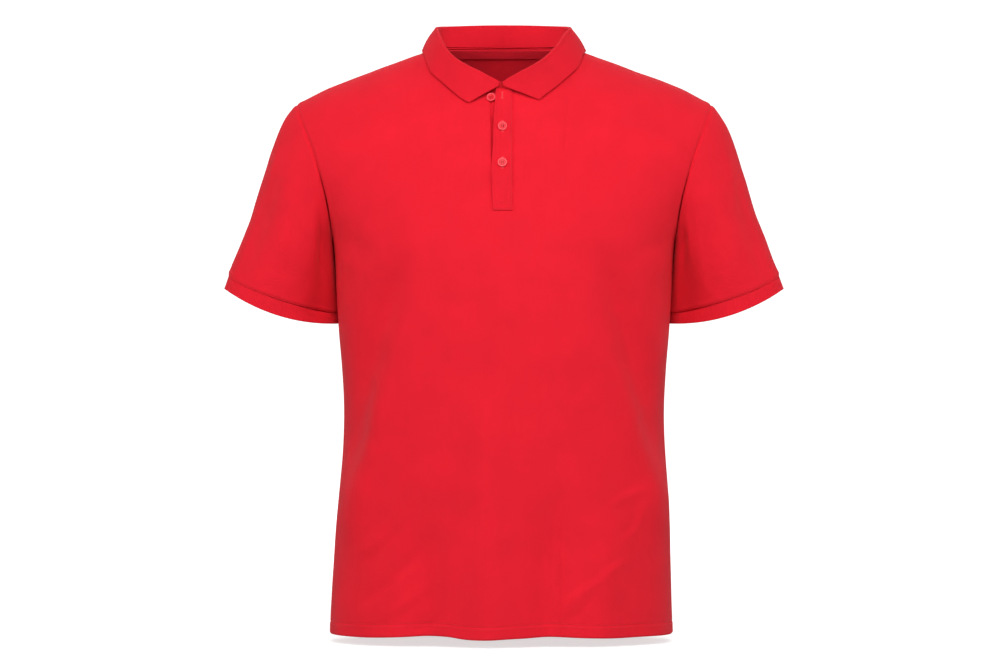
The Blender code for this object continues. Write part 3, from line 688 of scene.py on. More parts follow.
def flecked(name, dark, light, scale, roughness, specular):
    """A small plain finish whose colour drifts a little between dark and light."""
    made, tree, shader = new_material(name, roughness, specular)
    space = add_node(tree, "ShaderNodeTexCoord").outputs["Object"]
    feed(tree, shader, {"Base Color": tint(tree, noise_node(tree, space, scale), dark, light)})
    return made


# %% Finishes
RED = (0.80, 0.0115, 0.027)
STRIP_RED = (0.765, 0.011, 0.026)
RIB_RED = (0.755, 0.0105, 0.025)
# The tape's red is lighter than the cloth's: painted light, standing in for light that the shade inside the
# neck keeps off
TAPE_PAINTED_LIGHT_RED = (0.86, 0.016, 0.036)
PIQUE_CELL = (0.0013, 0.0017)
pique = knit("pique_cotton", RED, PIQUE_CELL, "cells", 0.00030)
strip_pique = knit("placket_pique", STRIP_RED, PIQUE_CELL, "cells", 0.00030)
rib_knit = knit("rib_knit", RIB_RED, (0.0016, 0.0016), "ribs", 0.00030)
flat_knit = knit("collar_flat_knit", RIB_RED, (0.0012, 0.0015), "grid", 0.00022)
tape_weave = knit("tape_twill", TAPE_PAINTED_LIGHT_RED, (0.0018, 0.0009), "cells", 0.0002)

# Name, dark colour, light colour, size of the drift, roughness, gloss
SMALL_FINISHES = [
    ("sewing_thread", (0.56, 0.013, 0.024), (0.78, 0.018, 0.034), 900.0, 0.55, 0.3),
    ("buttonhole_thread", (0.82, 0.040, 0.058), (0.92, 0.075, 0.095), 900.0, 0.5, 0.35),
    ("button_thread", (0.34, 0.004, 0.010), (0.46, 0.007, 0.015), 900.0, 0.6, 0.2),
    ("button_plastic", (0.72, 0.009, 0.021), (0.79, 0.015, 0.030), 260.0, 0.45, 0.3),
    # The rim's lighter colour is a painted highlight
    ("button_painted_highlight_plastic", (0.84, 0.045, 0.066), (0.90, 0.075, 0.100), 260.0, 0.35, 0.4),
]
thread, bright_thread, button_thread, plastic, painted_highlight_plastic = [flecked(*row) for row in SMALL_FINISHES]


def dress(piece, finish, node_names):
    """Give a piece its finish, the solids it stands for and the body it rides on."""
    piece.data.materials.clear()
    piece.data.materials.append(finish)
    for name in node_names:
        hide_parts(name)
    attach(piece, "root")
    return piece


# %% [markdown]
# ## The front and back
# Each panel is a patch of rows and columns. The columns crowd together at the side seams,
# where the cloth turns away, and the rows crowd at the shoulder. A seam pulls the cloth
# in along a thin groove, and the hem is a turned fold, thicker and a little puckered by
# its two rows of stitches. The front has a window where the placket strips lie.

# %% Panel grids
NECK_STEP = 3.0
WINDOW_LEFT = -12.0
WINDOW_RIGHT = 6.0
WINDOW_FOOT_TURN = 60.0
OUTER_STEPS = np.concatenate([np.linspace(0.0, 0.972, 43), [0.982, 0.989, 0.9945, 0.998, 1.0]])
UPPER_TURNS = np.radians(np.concatenate([np.arange(0.0, 177.0, 3.75), [178.2, 179.2, 179.7, 180.0]]))
LOWER_STEPS = 112
# The strip of cloth beside the neck: its outer end, its foot and how far each fades
BESIDE_X = 112.0
BESIDE_X_FADE = 14.0
BESIDE_Z = -260.0
BESIDE_Z_FADE = 60.0
# How far from a side seam the waves and the creases reach their full rise
WAVES_FROM_SEAM = 45.0
CREASES_FROM_SEAM = 12.0
# A seam seen from outside: the groove's depth and half width, then the rise, place and half
# width of the ridge of folded cloth beside it
SEAM_GROOVE = (1.1, 1.5)
SEAM_RIDGE = (0.45, 5.5, 3.0)
# Rise of the slow and of the quick waves, of the hem's pucker, and depth of its sewn line
SLOW_WAVE = 1.1
QUICK_WAVE = 0.5
HEM_PUCKER = 0.35
HEM_LINE = 0.55
# How much the two faces close on the first three rows at the hem's edge
HEM_PINCHES = ((0, 0.36), (1, 0.16), (2, 0.05))


def panel_shares():
    """Places across a panel, for the rounded rows below and the straight rows above."""
    neck = NECK_HALF_WIDTH * np.sin(np.radians(np.arange(0.0, 91.0, NECK_STEP))) / SHOULDER_POINT_X
    start = np.arcsin(neck[-1] ** (SECTION_POWER / 2))
    rounded = np.sin(start + (pi / 2 - start) * OUTER_STEPS[1:]) ** (2 / SECTION_POWER)
    straight = neck[-1] + (1 - neck[-1]) * OUTER_STEPS[1:]
    both = [np.concatenate([neck, outer]) for outer in (rounded, straight)]
    return [np.concatenate([-half[:0:-1], half]) for half in both]


def top_edge(x, face):
    x = np.abs(x)
    inside = np.clip(x / NECK_HALF_WIDTH, 0.0, 1.0)
    neckline = -neck_drop[face] * np.sqrt(1 - inside ** 2)
    return np.where(x < NECK_HALF_WIDTH - 0.01, neckline, shoulder_z(x))


def panel_grid(face):
    rounded, straight = panel_shares()
    span = ARMPIT_Z - HEM_Z
    edge_rows = np.array([0.0, 0.7, 1.6])
    hem_rows = np.linspace(3.0, HEM_DEPTH + 6.0, 14)
    open_rows = np.linspace(HEM_DEPTH + 10.0, span, LOWER_STEPS)
    heights = HEM_Z + np.concatenate([edge_rows, hem_rows, open_rows])
    rows = [np.stack([rounded * torso_width(z), np.full_like(rounded, z)], -1) for z in heights[:-1]]
    top = top_edge(straight * SHOULDER_POINT_X, face)
    for turn in UPPER_TURNS:
        t = (1 - cos(turn)) / 2
        mixed = smooth_step(t / 0.2)
        shares = rounded * (1 - mixed) + straight * mixed
        edge = armhole_x(ARMPIT_Z + (SHOULDER_POINT_Z - ARMPIT_Z) * t)
        rows.append(np.stack([shares * edge, ARMPIT_Z + (top - ARMPIT_Z) * t], -1))
    plan = np.array(rows)
    return plan[..., 0], plan[..., 1], straight


def seam_groove(distance):
    """The rise of the cloth at a distance from a seam."""
    depth, width = SEAM_GROOVE
    ridge, aside, ridge_width = SEAM_RIDGE
    return -depth * bump(distance, width) + ridge * bump(distance - aside, ridge_width)


def beside_neck(x, z):
    """1 on the cloth beside the neck, where the grid's own directions are uneven."""
    x = np.abs(x)
    near = smooth_step((BESIDE_X - x) / BESIDE_X_FADE) * smooth_step((shoulder_z(x) - z - 2.0) / 5.0)
    return near * smooth_step((z - BESIDE_Z) / BESIDE_Z_FADE)


def build_panel(name, face):
    x, z, shares = panel_grid(face)
    z = z + hem_wave(-face * x) * smooth_step((HEM_Z + HEM_WAVE_REACH - z) / HEM_WAVE_REACH)
    slim = SLIM_SHARE * (x > 0) * smooth_step((SLIM_FROM - z) / SLIM_OVER)
    points = np.stack([x * (1 - slim), body_y(x, z, face), z], -1)
    normals = facing(grid_normals(points), face)
    normals += (body_normal(x, z, face) - normals) * beside_neck(x, z)[..., None]
    low = len(x) - len(UPPER_TURNS)
    # At the side seams both panels face straight sideways, so that their edges meet
    normals[:low, 0, 1] = normals[:low, -1, 1] = 0.0
    normals = unit(normals)
    from_left = run_lengths(points, 1)
    from_side = np.minimum(from_left, from_left[:, -1:] - from_left)
    from_hem = run_lengths(points, 0)
    from_top = from_hem[-1:] - from_hem
    on_shoulder = np.abs(x[-1]) >= NECK_HALF_WIDTH - 0.01
    edge_fade = smooth_step(from_side / WAVES_FROM_SEAM)
    rise = fold_rise(x, z, face) * (1 - np.abs(shares) ** 12)
    rise += crease_rise(x, z, face) * smooth_step(from_side / CREASES_FROM_SEAM)
    waves = SLOW_WAVE * ripple(points, 70.0, 3.7 + face) + QUICK_WAVE * ripple(points, 26.0, 9.1)
    rise += waves * edge_fade
    rise += seam_groove(from_side)
    rise += np.where(on_shoulder, seam_groove(from_top), 0.0)
    band = smooth_step((HEM_DEPTH + 2.0 - from_hem) / 3.0)
    pucker = flat_ripple(from_left, 0 * x, 9.0, 1.3)
    rise += band * (HEM_PUCKER + HEM_PUCKER * pucker) - HEM_LINE * bump(from_hem - HEM_DEPTH, 1.6)
    outer = points + normals * rise[..., None]
    thick = CLOTH + (HEM_CLOTH - CLOTH) * band
    inner = outer - normals * thick[..., None]
    pinch_rows(outer, inner, HEM_PINCHES)
    gaps = set()
    if face == FRONT:
        middle = len(shares) // 2
        first = middle + int(round(WINDOW_LEFT / NECK_STEP))
        last = middle + int(round(WINDOW_RIGHT / NECK_STEP))
        foot = low + int(np.argmin(np.abs(UPPER_TURNS - radians(WINDOW_FOOT_TURN))))
        gaps = {(i, j) for i in range(foot, len(x) - 1) for j in range(first, last)}
    return cloth(name, outer, inner, gaps=gaps), outer


front_piece, front_face = build_panel("front_panel", FRONT)
back_piece, back_face = build_panel("back_panel", BACK)
dress(front_piece, pique, ["front"])
dress(back_piece, pique, ["back"])

# %% [markdown]
# ## The sleeves and their rib bands
# A short set-in sleeve is a tube from the armhole seam to a narrower, tilted ring. Here
# each ring is a mix of the two end loops, with some fullness over the shoulder point. The
# rib band below it is a ring of its own with fine upright ribs, a little tighter than the
# sleeve, so that the sleeve's edge stands over it as a small step.

# %% Sleeve grids
# Outer and inner end seen from the front, depth, and how far the front hangs below the
# sides: the drop and the power with which it fades towards them
SLEEVE_END = {"outer": (344.5, -283.5), "inner": (205.5, -329.0), "half_depth": 51.0, "drop": (10.0, 1)}
CUFF_END = {"outer": (349.5, -301.0), "inner": (205.5, -344.5), "half_depth": 50.5, "drop": (12.8, 2)}
SLEEVE_Y = -4.0
SLEEVE_INNER_BACK = 34.0
SLEEVE_HEAD = 95.0
SLEEVE_FULLNESS = 5.0
AROUND = 120
TOP_RINGS = [0.0, 0.004, 0.009, 0.016, 0.026]
RINGS = np.concatenate([TOP_RINGS, np.linspace(0.04, 0.975, 52), [0.985, 0.993, 1.0]])
CUFF_STEP = 0.6
CUFF_TUCK = 2.6
CUFF_RIBS = 96
RIB_RISE = 0.12
CUFF_WAVE = 0.9
CUFF_PINCHES = ((0, 0.2), (-1, 0.34), (-2, 0.12))
# Angle from the underarm by the front at the armhole and at the cuff, start, end,
# half width in degrees, rise
SLEEVE_FOLDS = [
    (48.0, 48.0, 0.10, 1.30, 17.0, -5.0),
    (112.0, 112.0, 0.15, 0.85, 18.0, 3.0),
    (140.0, 140.0, 0.30, 1.30, 14.0, -2.5),
    (250.0, 250.0, 0.10, 0.95, 18.0, -5.0),
    (300.0, 300.0, 0.15, 1.30, 18.0, -4.0),
]
SLEEVE_CREASES = [
    (62.0, 30.0, 0.08, 0.75, 6.0, -2.2),
    (76.0, 52.0, 0.05, 0.60, 6.0, 1.5),
    (30.0, 74.0, 0.70, 1.02, 7.0, -1.8),
    (44.0, 88.0, 0.74, 1.05, 6.0, 1.2),
    (98.0, 84.0, 0.30, 0.95, 7.0, -1.2),
    (150.0, 128.0, 0.10, 0.70, 8.0, 1.2),
    (286.0, 320.0, 0.08, 0.80, 7.0, -2.0),
    (240.0, 262.0, 0.20, 0.90, 8.0, 1.6),
    (334.0, 300.0, 0.60, 1.05, 8.0, -1.8),
]


def loop(angles, end=None):
    """The armhole seam, or a tilted ring at the sleeve's end, by angle from the underarm."""
    share = (1 - np.cos(angles)) / 2
    if end is None:
        z = ARMPIT_Z + (SHOULDER_POINT_Z - ARMPIT_Z) * share
        x = armhole_x(z)
        y = np.where(angles <= pi, body_y(x, z, FRONT), body_y(x, z, BACK))
        return np.stack([x, y, z], -1)
    (x_in, z_in), (x_out, z_out) = end["inner"], end["outer"]
    turn = np.sin(angles)
    drop, power = end["drop"]
    y = SLEEVE_Y + SLEEVE_INNER_BACK * (1 - share) ** 2 - end["half_depth"] * turn
    z = z_in + (z_out - z_in) * share - drop * turn * np.abs(turn) ** (power - 1)
    return np.stack([x_in + (x_out - x_in) * share, y, z], -1)


def tube_normals(points):
    normals = grid_normals(points, wrap=True)
    away = points - points.mean(axis=1, keepdims=True)
    return normals * np.sign(np.sum(normals * away, axis=-1).mean())


def turn_away(degrees, centre):
    """Signed difference of two angles round the sleeve."""
    return (degrees - centre + 180.0) % 360.0 - 180.0


def sleeve_rise(degrees, s, table):
    rise = np.zeros(np.broadcast(degrees, s).shape)
    for at_top, at_cuff, start, stop, width, height in table:
        centre = at_top + (at_cuff - at_top) * s
        fade = smooth_step((s - start) / 0.25) * smooth_step((stop - s) / 0.25)
        rise += height * fade * bump(turn_away(degrees, centre), width)
    return rise


ANGLES = np.linspace(0.0, 2 * pi, AROUND, endpoint=False)
DEGREES = np.degrees(ANGLES)[None, :]


def sleeve_base():
    top = loop(ANGLES)[None]
    low = loop(ANGLES, SLEEVE_END)[None]
    s = RINGS[:, None]
    points = top * (1 - s[..., None]) + low * s[..., None]
    head = SLEEVE_HEAD * s * (1 - s) ** 4 * ((1 - np.cos(ANGLES)[None]) / 2) ** 2
    points[..., 0] += head
    points[..., 2] += 0.5 * head
    points[..., 1] -= SLEEVE_FULLNESS * np.sin(pi * s) * np.sin(ANGLES)[None]
    return points


def mirrored(side):
    return np.array([side, 1.0, 1.0])


def build_sleeve(side, name):
    points = sleeve_base()
    normals = tube_normals(points)
    s = RINGS[:, None]
    seed = 5.0 + 3.0 * side
    lean = 6.0 * side
    from_seam = run_lengths(points, 0)
    from_cuff = from_seam[-1:] - from_seam
    rise = sleeve_rise(DEGREES, s, SLEEVE_FOLDS)
    rise += sleeve_rise(DEGREES + lean, s, SLEEVE_CREASES)
    calm = smooth_step(from_seam / 30.0)
    rise += (1.0 * ripple(points, 48.0, seed) + 0.4 * ripple(points, 20.0, seed + 4.0)) * calm
    rise += seam_groove(from_seam) - 0.7 * bump(from_cuff, 1.6) + 0.5 * bump(from_cuff - 4.0, 2.5)
    outer = points + normals * rise[..., None]
    inner = outer - normals * CLOTH
    return cloth(name, outer * mirrored(side), inner * mirrored(side), wrap=True), outer


def build_cuff(side, name, sleeve_face):
    """The rib band, whose top edge runs up inside the sleeve as the seam's allowance."""
    top_steps = [-0.16, -0.08, 0.0, 0.03, 0.08]
    share = np.concatenate([top_steps, np.linspace(0.16, 0.90, 9), [0.95, 0.985, 1.0]])[:, None, None]
    around = np.linspace(0.0, 2 * pi, 4 * AROUND, endpoint=False)
    top = loop(around, SLEEVE_END)[None]
    low = loop(around, CUFF_END)[None]
    base = top * (1 - share) + low * share
    normals = tube_normals(base)
    apart = sleeve_face[-1] - loop(ANGLES, SLEEVE_END)
    outward = np.sum(apart * tube_normals(sleeve_base())[-1], axis=-1)
    follow = np.linalg.norm(apart, axis=-1) * np.sign(outward)
    follow = np.interp(around, np.append(ANGLES, 2 * pi), np.append(follow, 0.0))
    keep = np.clip(1 - share[..., 0], 0.0, 1.0) ** 1.5
    ribs = RIB_RISE * np.cos(around * CUFF_RIBS)[None]
    waves = CUFF_WAVE * ripple(base, 40.0, 2.0 + side) * (1 - keep)
    rise = follow[None] * keep * 0.9 - CUFF_STEP + ribs + waves
    rise -= np.where(share[..., 0] < 0.01, CUFF_TUCK - CUFF_STEP, 0.0)
    rise += 0.35 * bump(share[..., 0] - 0.97, 0.05)
    outer = base + normals * rise[..., None]
    inner = outer - normals * RIB
    pinch_rows(outer, inner, CUFF_PINCHES)
    return cloth(name, outer * mirrored(side), inner * mirrored(side), wrap=True)


for side, word in ((1, "left"), (-1, "right")):
    sleeve, sleeve_face = build_sleeve(side, f"sleeve_{word}_cloth")
    dress(sleeve, pique, [f"sleeve_{word}"])
    band = build_cuff(side, f"cuff_{word}_rib", sleeve_face)
    dress(band, rib_knit, [f"cuff_{word}"])

# %% [markdown]
# ## The collar
# A polo collar is knitted flat in one piece, sewn on by its lower edge, stood up round
# the neck and turned over. Three curves round the neck guide it: the seam, the roll line
# at the top and the free edge, which rests on the shirt. Each section runs up the stand,
# over a small half circle and down the fall.

# %% Collar tables
# Angle on the neckline, roll line x, y and height, then the free edge's place on the cloth:
# x and height on the front and back, x and y where it crosses the shoulder
COLLAR_FRONT = [
    (6.0, 3.5, -85.0, -46.5, 42.7, -72.6),
    (15.0, 18.5, -82.0, -37.8, 50.5, -67.3),
    (30.0, 38.0, -72.5, -27.3, 62.5, -58.0),
    (45.0, 55.0, -58.0, -16.0, 76.0, -46.0),
    (60.0, 69.5, -40.5, -0.5, 90.5, -31.5),
]
COLLAR_SHOULDER = [
    (75.0, 78.0, -20.0, 15.0, 99.0, -20.0),
    (90.0, 83.5, 0.5, 25.3, 102.3, 3.0),
    (105.0, 80.0, 16.0, 28.0, 98.5, 24.0),
]
COLLAR_BACK = [
    (120.0, 71.5, 28.0, 29.2, 92.0, -13.0),
    (135.0, 58.0, 37.5, 30.3, 76.0, -12.0),
    (150.0, 41.5, 44.0, 31.3, 54.0, -11.5),
    (165.0, 21.5, 48.5, 32.1, 27.0, -11.5),
    (180.0, 0.0, 50.0, 32.4, 0.0, -11.5),
]
# How the collar sits askew: angle, the roll line's shift along X, and how much the free
# edge drops on the wearer's right and climbs on the left
ASKEW = [
    (6.0, -3.7, 1.8),
    (15.0, -4.2, 2.8),
    (30.0, -4.9, 2.8),
    (45.0, -5.3, 2.6),
    (60.0, -4.4, 2.8),
    (75.0, -2.8, 2.4),
    (90.0, -1.0, 1.0),
    (105.0, -0.4, 0.0),
    (120.0, 0.0, 0.0),
    (180.0, 0.0, 0.0),
]
COLLAR_LIFT = 2.6
ROLL_RADIUS = 1.7
COLLAR_BOW = 1.6
FRONT_EDGE_BOW = 4.4
FRONT_EDGE_REACH = 20.0
STAND_FRONT_X = 0.6
STAND_FRONT_Y = -0.3
STATION_STEP = 1.5
STAND_STEPS = np.linspace(0.0, 1.0, 9)
ROLL_TURNS = np.radians(np.arange(22.5, 180.0, 22.5))
FALL_STEPS = np.concatenate([np.linspace(0, 0.92, 14), [0.955, 0.98, 1.0]])
CREST = len(STAND_STEPS) + 3
# How much each point of a section shares in the bow of the front edge
BOW_SHARES = np.sin(pi * np.concatenate([
    0 * STAND_STEPS,
    np.clip(np.degrees(ROLL_TURNS) / 45 - 1, 0, None) / 7,
    (3 + 4 * FALL_STEPS) / 7,
]))


def on_body(x, z, face, out):
    x = np.asarray(x, float)
    z = np.asarray(z, float) + 0 * x
    return np.stack([x, body_y(x, z, face), z], -1) + np.asarray(out)[..., None] * body_normal(x, z, face)


def collar_edge(row, side):
    """A point of the free edge, just off the cloth that it lies on."""
    angle, x = row[0], row[4]
    other = row[5] + side * float(drop_at(angle))
    if angle < COLLAR_SHOULDER[0][0]:
        return on_body(x, other, FRONT, COLLAR_LIFT)
    if angle > COLLAR_SHOULDER[-1][0]:
        return on_body(x, other, BACK, COLLAR_LIFT)
    face = FRONT if other < shoulder_y(x) else BACK
    return np.array([x, other, body_z(x, other, face) + COLLAR_LIFT])


COLLAR = COLLAR_FRONT + COLLAR_SHOULDER + COLLAR_BACK
collar_angles = [row[0] for row in COLLAR]
shift_at = table_curve(ASKEW, 1)
drop_at = table_curve(ASKEW, 2)
roll_line = curve_through(collar_angles, [row[1:4] for row in COLLAR])


def neck_seam(angle):
    face = FRONT if angle <= 90.0 else BACK
    x = NECK_HALF_WIDTH * sin(radians(angle))
    z = -neck_drop[face] * abs(cos(radians(angle)))
    return np.array([x, float(body_y(x, z, face)), z])


def collar_section(angle, side, edge):
    """Points of one section: up the stand, over the roll and down the fall."""
    up = np.array([0.0, 0.0, 1.0])
    roll = roll_line(angle) - up * (ROLL_RADIUS + COLLAR_CLOTH / 2)
    roll[0] += side * float(shift_at(angle))
    over = edge - roll
    over[2] = 0.0
    over = unit(over)
    foot = neck_seam(angle) + 0.9 * up - over * (COLLAR_CLOTH / 2 + 0.3)
    stand_top = roll - over * ROLL_RADIUS
    fall_top = roll + over * ROLL_RADIUS
    points = [foot + (stand_top - foot) * t for t in STAND_STEPS]
    for turn in ROLL_TURNS:
        points.append(roll + ROLL_RADIUS * (sin(turn) * up - cos(turn) * over))
    out = unit(np.cross(np.cross(over, up), edge - fall_top))
    out = out * (1.0 if out[2] >= 0 else -1.0)
    for t in FALL_STEPS:
        points.append(fall_top + (edge - fall_top) * t + out * COLLAR_BOW * sin(pi * t))
    return np.array(points)


def collar_side(side):
    """One side from the stand's front end round to the back."""
    edge_line = curve_through(collar_angles, [collar_edge(row, side) for row in COLLAR])
    angles = np.concatenate([[6.0, 6.3, 6.9, 8.0], np.arange(9.0, 180.1, STATION_STEP)])
    half = np.array([collar_section(a, side, edge_line(a)) for a in angles])
    near_edge = smooth_step((FRONT_EDGE_REACH - angles) / (FRONT_EDGE_REACH - angles[0]))
    bow = FRONT_EDGE_BOW * near_edge[:, None] * BOW_SHARES
    half[..., 0] -= 0.55 * bow
    half[..., 2] -= 0.83 * bow
    front = half[0].copy()
    climb = np.clip(np.arange(len(front)) / (len(STAND_STEPS) - 1), 0.0, 1.0)
    front[:, 0] = STAND_FRONT_X + side * float(shift_at(angles[0])) * climb
    front[:, 1] += STAND_FRONT_Y
    ends = [front + (half[0] - front) * t for t in (0.0, 0.12, 0.5)]
    return np.concatenate([ends, half]) * mirrored(side)


def build_collar():
    """Only the stand runs on to the middle, between the fall's two front edges."""
    one = collar_side(-1)
    middle = np.concatenate([one, collar_side(1)[-2::-1]])
    normals = grid_normals(middle)
    rows = len(middle)
    edges = (3, rows - 4)
    for edge, way in zip(edges, (1, -1)):
        normals[edge, CREST + 1:] = normals[edge + way, CREST + 1:]
    down = np.linspace(0.0, 1.0, middle.shape[1])[None]
    on_fall = smooth_step((down - 0.55) / 0.4)
    calm = 0.9 * ripple(middle, 34.0, 6.2) * on_fall + 0.35 * ripple(middle, 60.0, 1.2)
    middle = middle + normals * calm[..., None] * 0.8
    half_cloth = np.full(middle.shape[:2], COLLAR_CLOTH / 2)
    for n, share in ((-1, 0.45), (-2, 0.85), (0, 0.6)):
        half_cloth[:, n] *= share
    for edge, way in zip(edges, (1, -1)):
        half_cloth[edge, CREST + 1:] *= 0.5
        half_cloth[edge + way, CREST + 1:] *= 0.85
    for end in (0, -1):
        half_cloth[end] *= 0.7
    offset = normals * half_cloth[..., None]
    end_rows = (0, 1, 2, rows - 2, rows - 3, rows - 4)
    gaps = {(i, j) for i in end_rows for j in range(CREST, middle.shape[1] - 1)}
    return cloth("collar_knit", middle + offset, middle - offset, gaps=gaps)


collar = build_collar()
dress(collar, flat_knit, ["collar"])

# %% [markdown]
# ## The placket and the neck tape
# The placket is two strips of the same cloth. The upper one, with the buttonholes, is
# sewn down its outer side and across its foot, and its free edge waves and gapes a little
# between the buttons. The under strip lies inside the window and carries the buttons.
# The two buttonholes in use are real slots in the upper strip. The unused one at the top
# has no slot, only its threads. The tape covers the back neck seam on the inside.

# %% Placket strips
PLACKET_SEWN_X = 10.5
PLACKET_CLOTH = 1.6
PLACKET_FOOT = -207.0
PLACKET_TOP = -55.6
PLACKET_LIFT = 0.4
UNDER_X = (-27.0, 13.0)
UNDER_TOP = -55.0
BUTTON_LINE = -1.9
# Buttonholes: height of the middle, half length
BUTTONHOLES = [
    (-65.0, 3.4),
    (-103.7, 6.3),
    (-148.5, 6.3),
]
SLOT_WIDTH = 0.7
# The upper strip's free edge, which swings open at the top: height, x
FREE_EDGE = [
    (-207.0, -13.9),
    (-200.0, -14.1),
    (-176.0, -15.0),
    (-149.0, -15.4),
    (-130.0, -13.6),
    (-108.0, -13.4),
    (-86.0, -12.0),
    (-71.0, -10.8),
    (-55.0, -9.8),
]
free_edge = table_curve(FREE_EDGE, 1)
# Lines of the sewn box at the foot
BOX_LEFT = -11.6
BOX_RIGHT = 9.2
BOX_HEIGHTS = (PLACKET_FOOT + 1.6, PLACKET_FOOT + 9.2)
# How far the free edge stands off, and how far along it a button and the foot hold it
GAPE = 3.2
BUTTON_HOLD = 9.0
FOOT_HOLD = 12.0
# Columns on each side of the buttonholes, and how far the faces close at the strip's edge
STRIP_COLUMNS = 11
STRIP_EDGE_PINCH = 0.35
# The under strip sinks behind the free edge and leaves a dark gap: depth, half width, and
# the height below which it does so, with how far this fades
SINK = 3.0
SINK_WIDTH = 3.6
SINK_BELOW = -84.0
SINK_FADE = 16.0


def gape(z):
    """How far the free edge stands off between the buttons."""
    pinned = sum(bump(z - height, BUTTON_HOLD) for height, _ in BUTTONHOLES[1:])
    pinned = pinned + bump(z - PLACKET_FOOT, FOOT_HOLD)
    return GAPE * np.clip(1.0 - pinned, 0.0, 1.0) * (0.75 + 0.25 * np.sin(z / 9.0))


def build_upper_strip():
    heights = np.arange(PLACKET_FOOT + 2.0, PLACKET_TOP - 1.2, 1.5)
    heights = np.concatenate([[PLACKET_FOOT, PLACKET_FOOT + 0.6], heights, [PLACKET_TOP - 0.6, PLACKET_TOP]])
    left_end, right_start = BUTTON_LINE - SLOT_WIDTH / 2, BUTTON_LINE + SLOT_WIDTH / 2
    left = np.array([np.linspace(free_edge(z), left_end, STRIP_COLUMNS) for z in heights])
    right = np.linspace(right_start, PLACKET_SEWN_X, STRIP_COLUMNS)
    x = np.concatenate([left, np.tile(right, (len(heights), 1))], axis=1)
    z = heights[:, None] + 0 * x
    free = np.clip((BUTTON_LINE - x) / (BUTTON_LINE - free_edge(z)), 0.0, 1.0) ** 1.6
    sewn = 0.30 * bump(x - BOX_RIGHT, 0.9) + 0.25 * bump(x - free_edge(z) - 3.6, 1.2)
    sewn -= 0.35 * bump(x - free_edge(z) - 1.0, 1.2)
    for height in BOX_HEIGHTS:
        sewn += 0.35 * bump(z - height, 0.9)
    out = PLACKET_LIFT + gape(z) * free - sewn + 0.25 * flat_ripple(x, z, 9.0, 4.4)
    outer = on_body(x, z, FRONT, out + PLACKET_CLOTH)
    inner = on_body(x, z, FRONT, out)
    for edge in (0, -1):
        outer[:, edge] += (inner[:, edge] - outer[:, edge]) * STRIP_EDGE_PINCH
        outer[edge] += (inner[edge] - outer[edge]) * STRIP_EDGE_PINCH
    slots = {
        (i, STRIP_COLUMNS - 1)
        for i, height in enumerate(heights)
        if any(abs(height + 0.75 - centre) < half - 1.0 for centre, half in BUTTONHOLES[1:])
    }
    return cloth("placket_upper_strip", outer, inner, gaps=slots)


def build_under_strip():
    heights = np.concatenate([np.arange(PLACKET_FOOT + 1.0, UNDER_TOP - 1.0, 3.0), [UNDER_TOP]])
    x = np.tile(np.linspace(*UNDER_X, 31), (len(heights), 1))
    z = heights[:, None] + 0 * x
    out = -CLOTH - PLACKET_LIFT - PLACKET_CLOTH + 0.2 * flat_ripple(x, z, 12.0, 7.7)
    out -= SINK * bump(x - free_edge(z) + 1.6, SINK_WIDTH) * smooth_step((SINK_BELOW - z) / SINK_FADE)
    return cloth("placket_under_strip", on_body(x, z, FRONT, out + PLACKET_CLOTH), on_body(x, z, FRONT, out))


upper_strip = build_upper_strip()
dress(upper_strip, strip_pique, ["placket_upper"])
under_strip = build_under_strip()
dress(under_strip, pique, ["placket_under"])

# %% Neck tape
TAPE_WIDTH = 10.0
TAPE_CLOTH = 1.0
TAPE_OUT = -CLOTH - 0.8


def tape_place(angles, drop, out):
    x = NECK_HALF_WIDTH * np.sin(angles)
    z = NECK_BACK_RISE * np.cos(angles) - 0.6 - drop
    return on_body(x, z, BACK, out)


def build_tape():
    angles = np.radians(np.linspace(-66.0, 66.0, 90))
    drops = np.linspace(TAPE_WIDTH, 0.0, 9)
    crown = 0.35 * np.sin(np.linspace(0, pi, 9))
    outer = np.array([tape_place(angles, d, TAPE_OUT) for d in drops])
    inner = np.array([tape_place(angles, d, TAPE_OUT - TAPE_CLOTH - c) for d, c in zip(drops, crown)])
    return cloth("neck_tape_band", outer, inner)


tape = build_tape()
dress(tape, tape_weave, ["neck_tape"])

# %% [markdown]
# ## Stitches
# One stitch is a short thread, thick in the middle and thin where it dives into the
# cloth. It is modelled once, from a six-sided cylinder whose ends are extruded and drawn
# in, and then set along the hem, the placket and the neck tape, the stitches of each as one
# joined mesh. The buttonholes use the same stitch, packed side by side across the slot.

# %% Model one stitch
STITCH_LENGTH = 2.5
STITCH_RADIUS = 0.26
STITCH_TIP = 0.35
STITCH_SIDES = 6


def cylinder(radius, depth, place, vertices):
    deselect()
    bpy.ops.mesh.primitive_cylinder_add(
        vertices=vertices, radius=radius * MM, depth=depth * MM, location=[c * MM for c in place]
    )
    return bpy.context.object


def edit_faces(piece, test):
    """Select in edit mode the faces that pass a test, and nothing else."""
    shape = bmesh.from_edit_mesh(piece.data)
    for face in shape.faces:
        face.select_set(False)
    for face in shape.faces:
        if test(face):
            face.select_set(True)
    bmesh.update_edit_mesh(piece.data)


def one_stitch():
    piece = cylinder(STITCH_RADIUS, STITCH_LENGTH * 0.5, (0, 0, 0), STITCH_SIDES)
    bpy.ops.object.mode_set(mode="EDIT")
    for way in (1, -1):
        edit_faces(piece, lambda face: face.normal.z * way > 0.9)
        bpy.ops.mesh.extrude_region_move(
            TRANSFORM_OT_translate={"value": (0.0, 0.0, way * STITCH_LENGTH * 0.25 * MM)}
        )
        bpy.ops.transform.resize(value=(STITCH_TIP, STITCH_TIP, 1.0))
    bpy.ops.object.mode_set(mode="OBJECT")
    points = np.array([v.co[:] for v in piece.data.vertices]) / MM
    faces = [list(p.vertices) for p in piece.data.polygons]
    faces = sorted(face[face.index(min(face)):] + face[:face.index(min(face))] for face in faces)
    bpy.data.objects.remove(piece, do_unlink=True)
    return points, faces


stitch_points, stitch_faces = one_stitch()
print("one stitch:", len(stitch_faces), "faces")


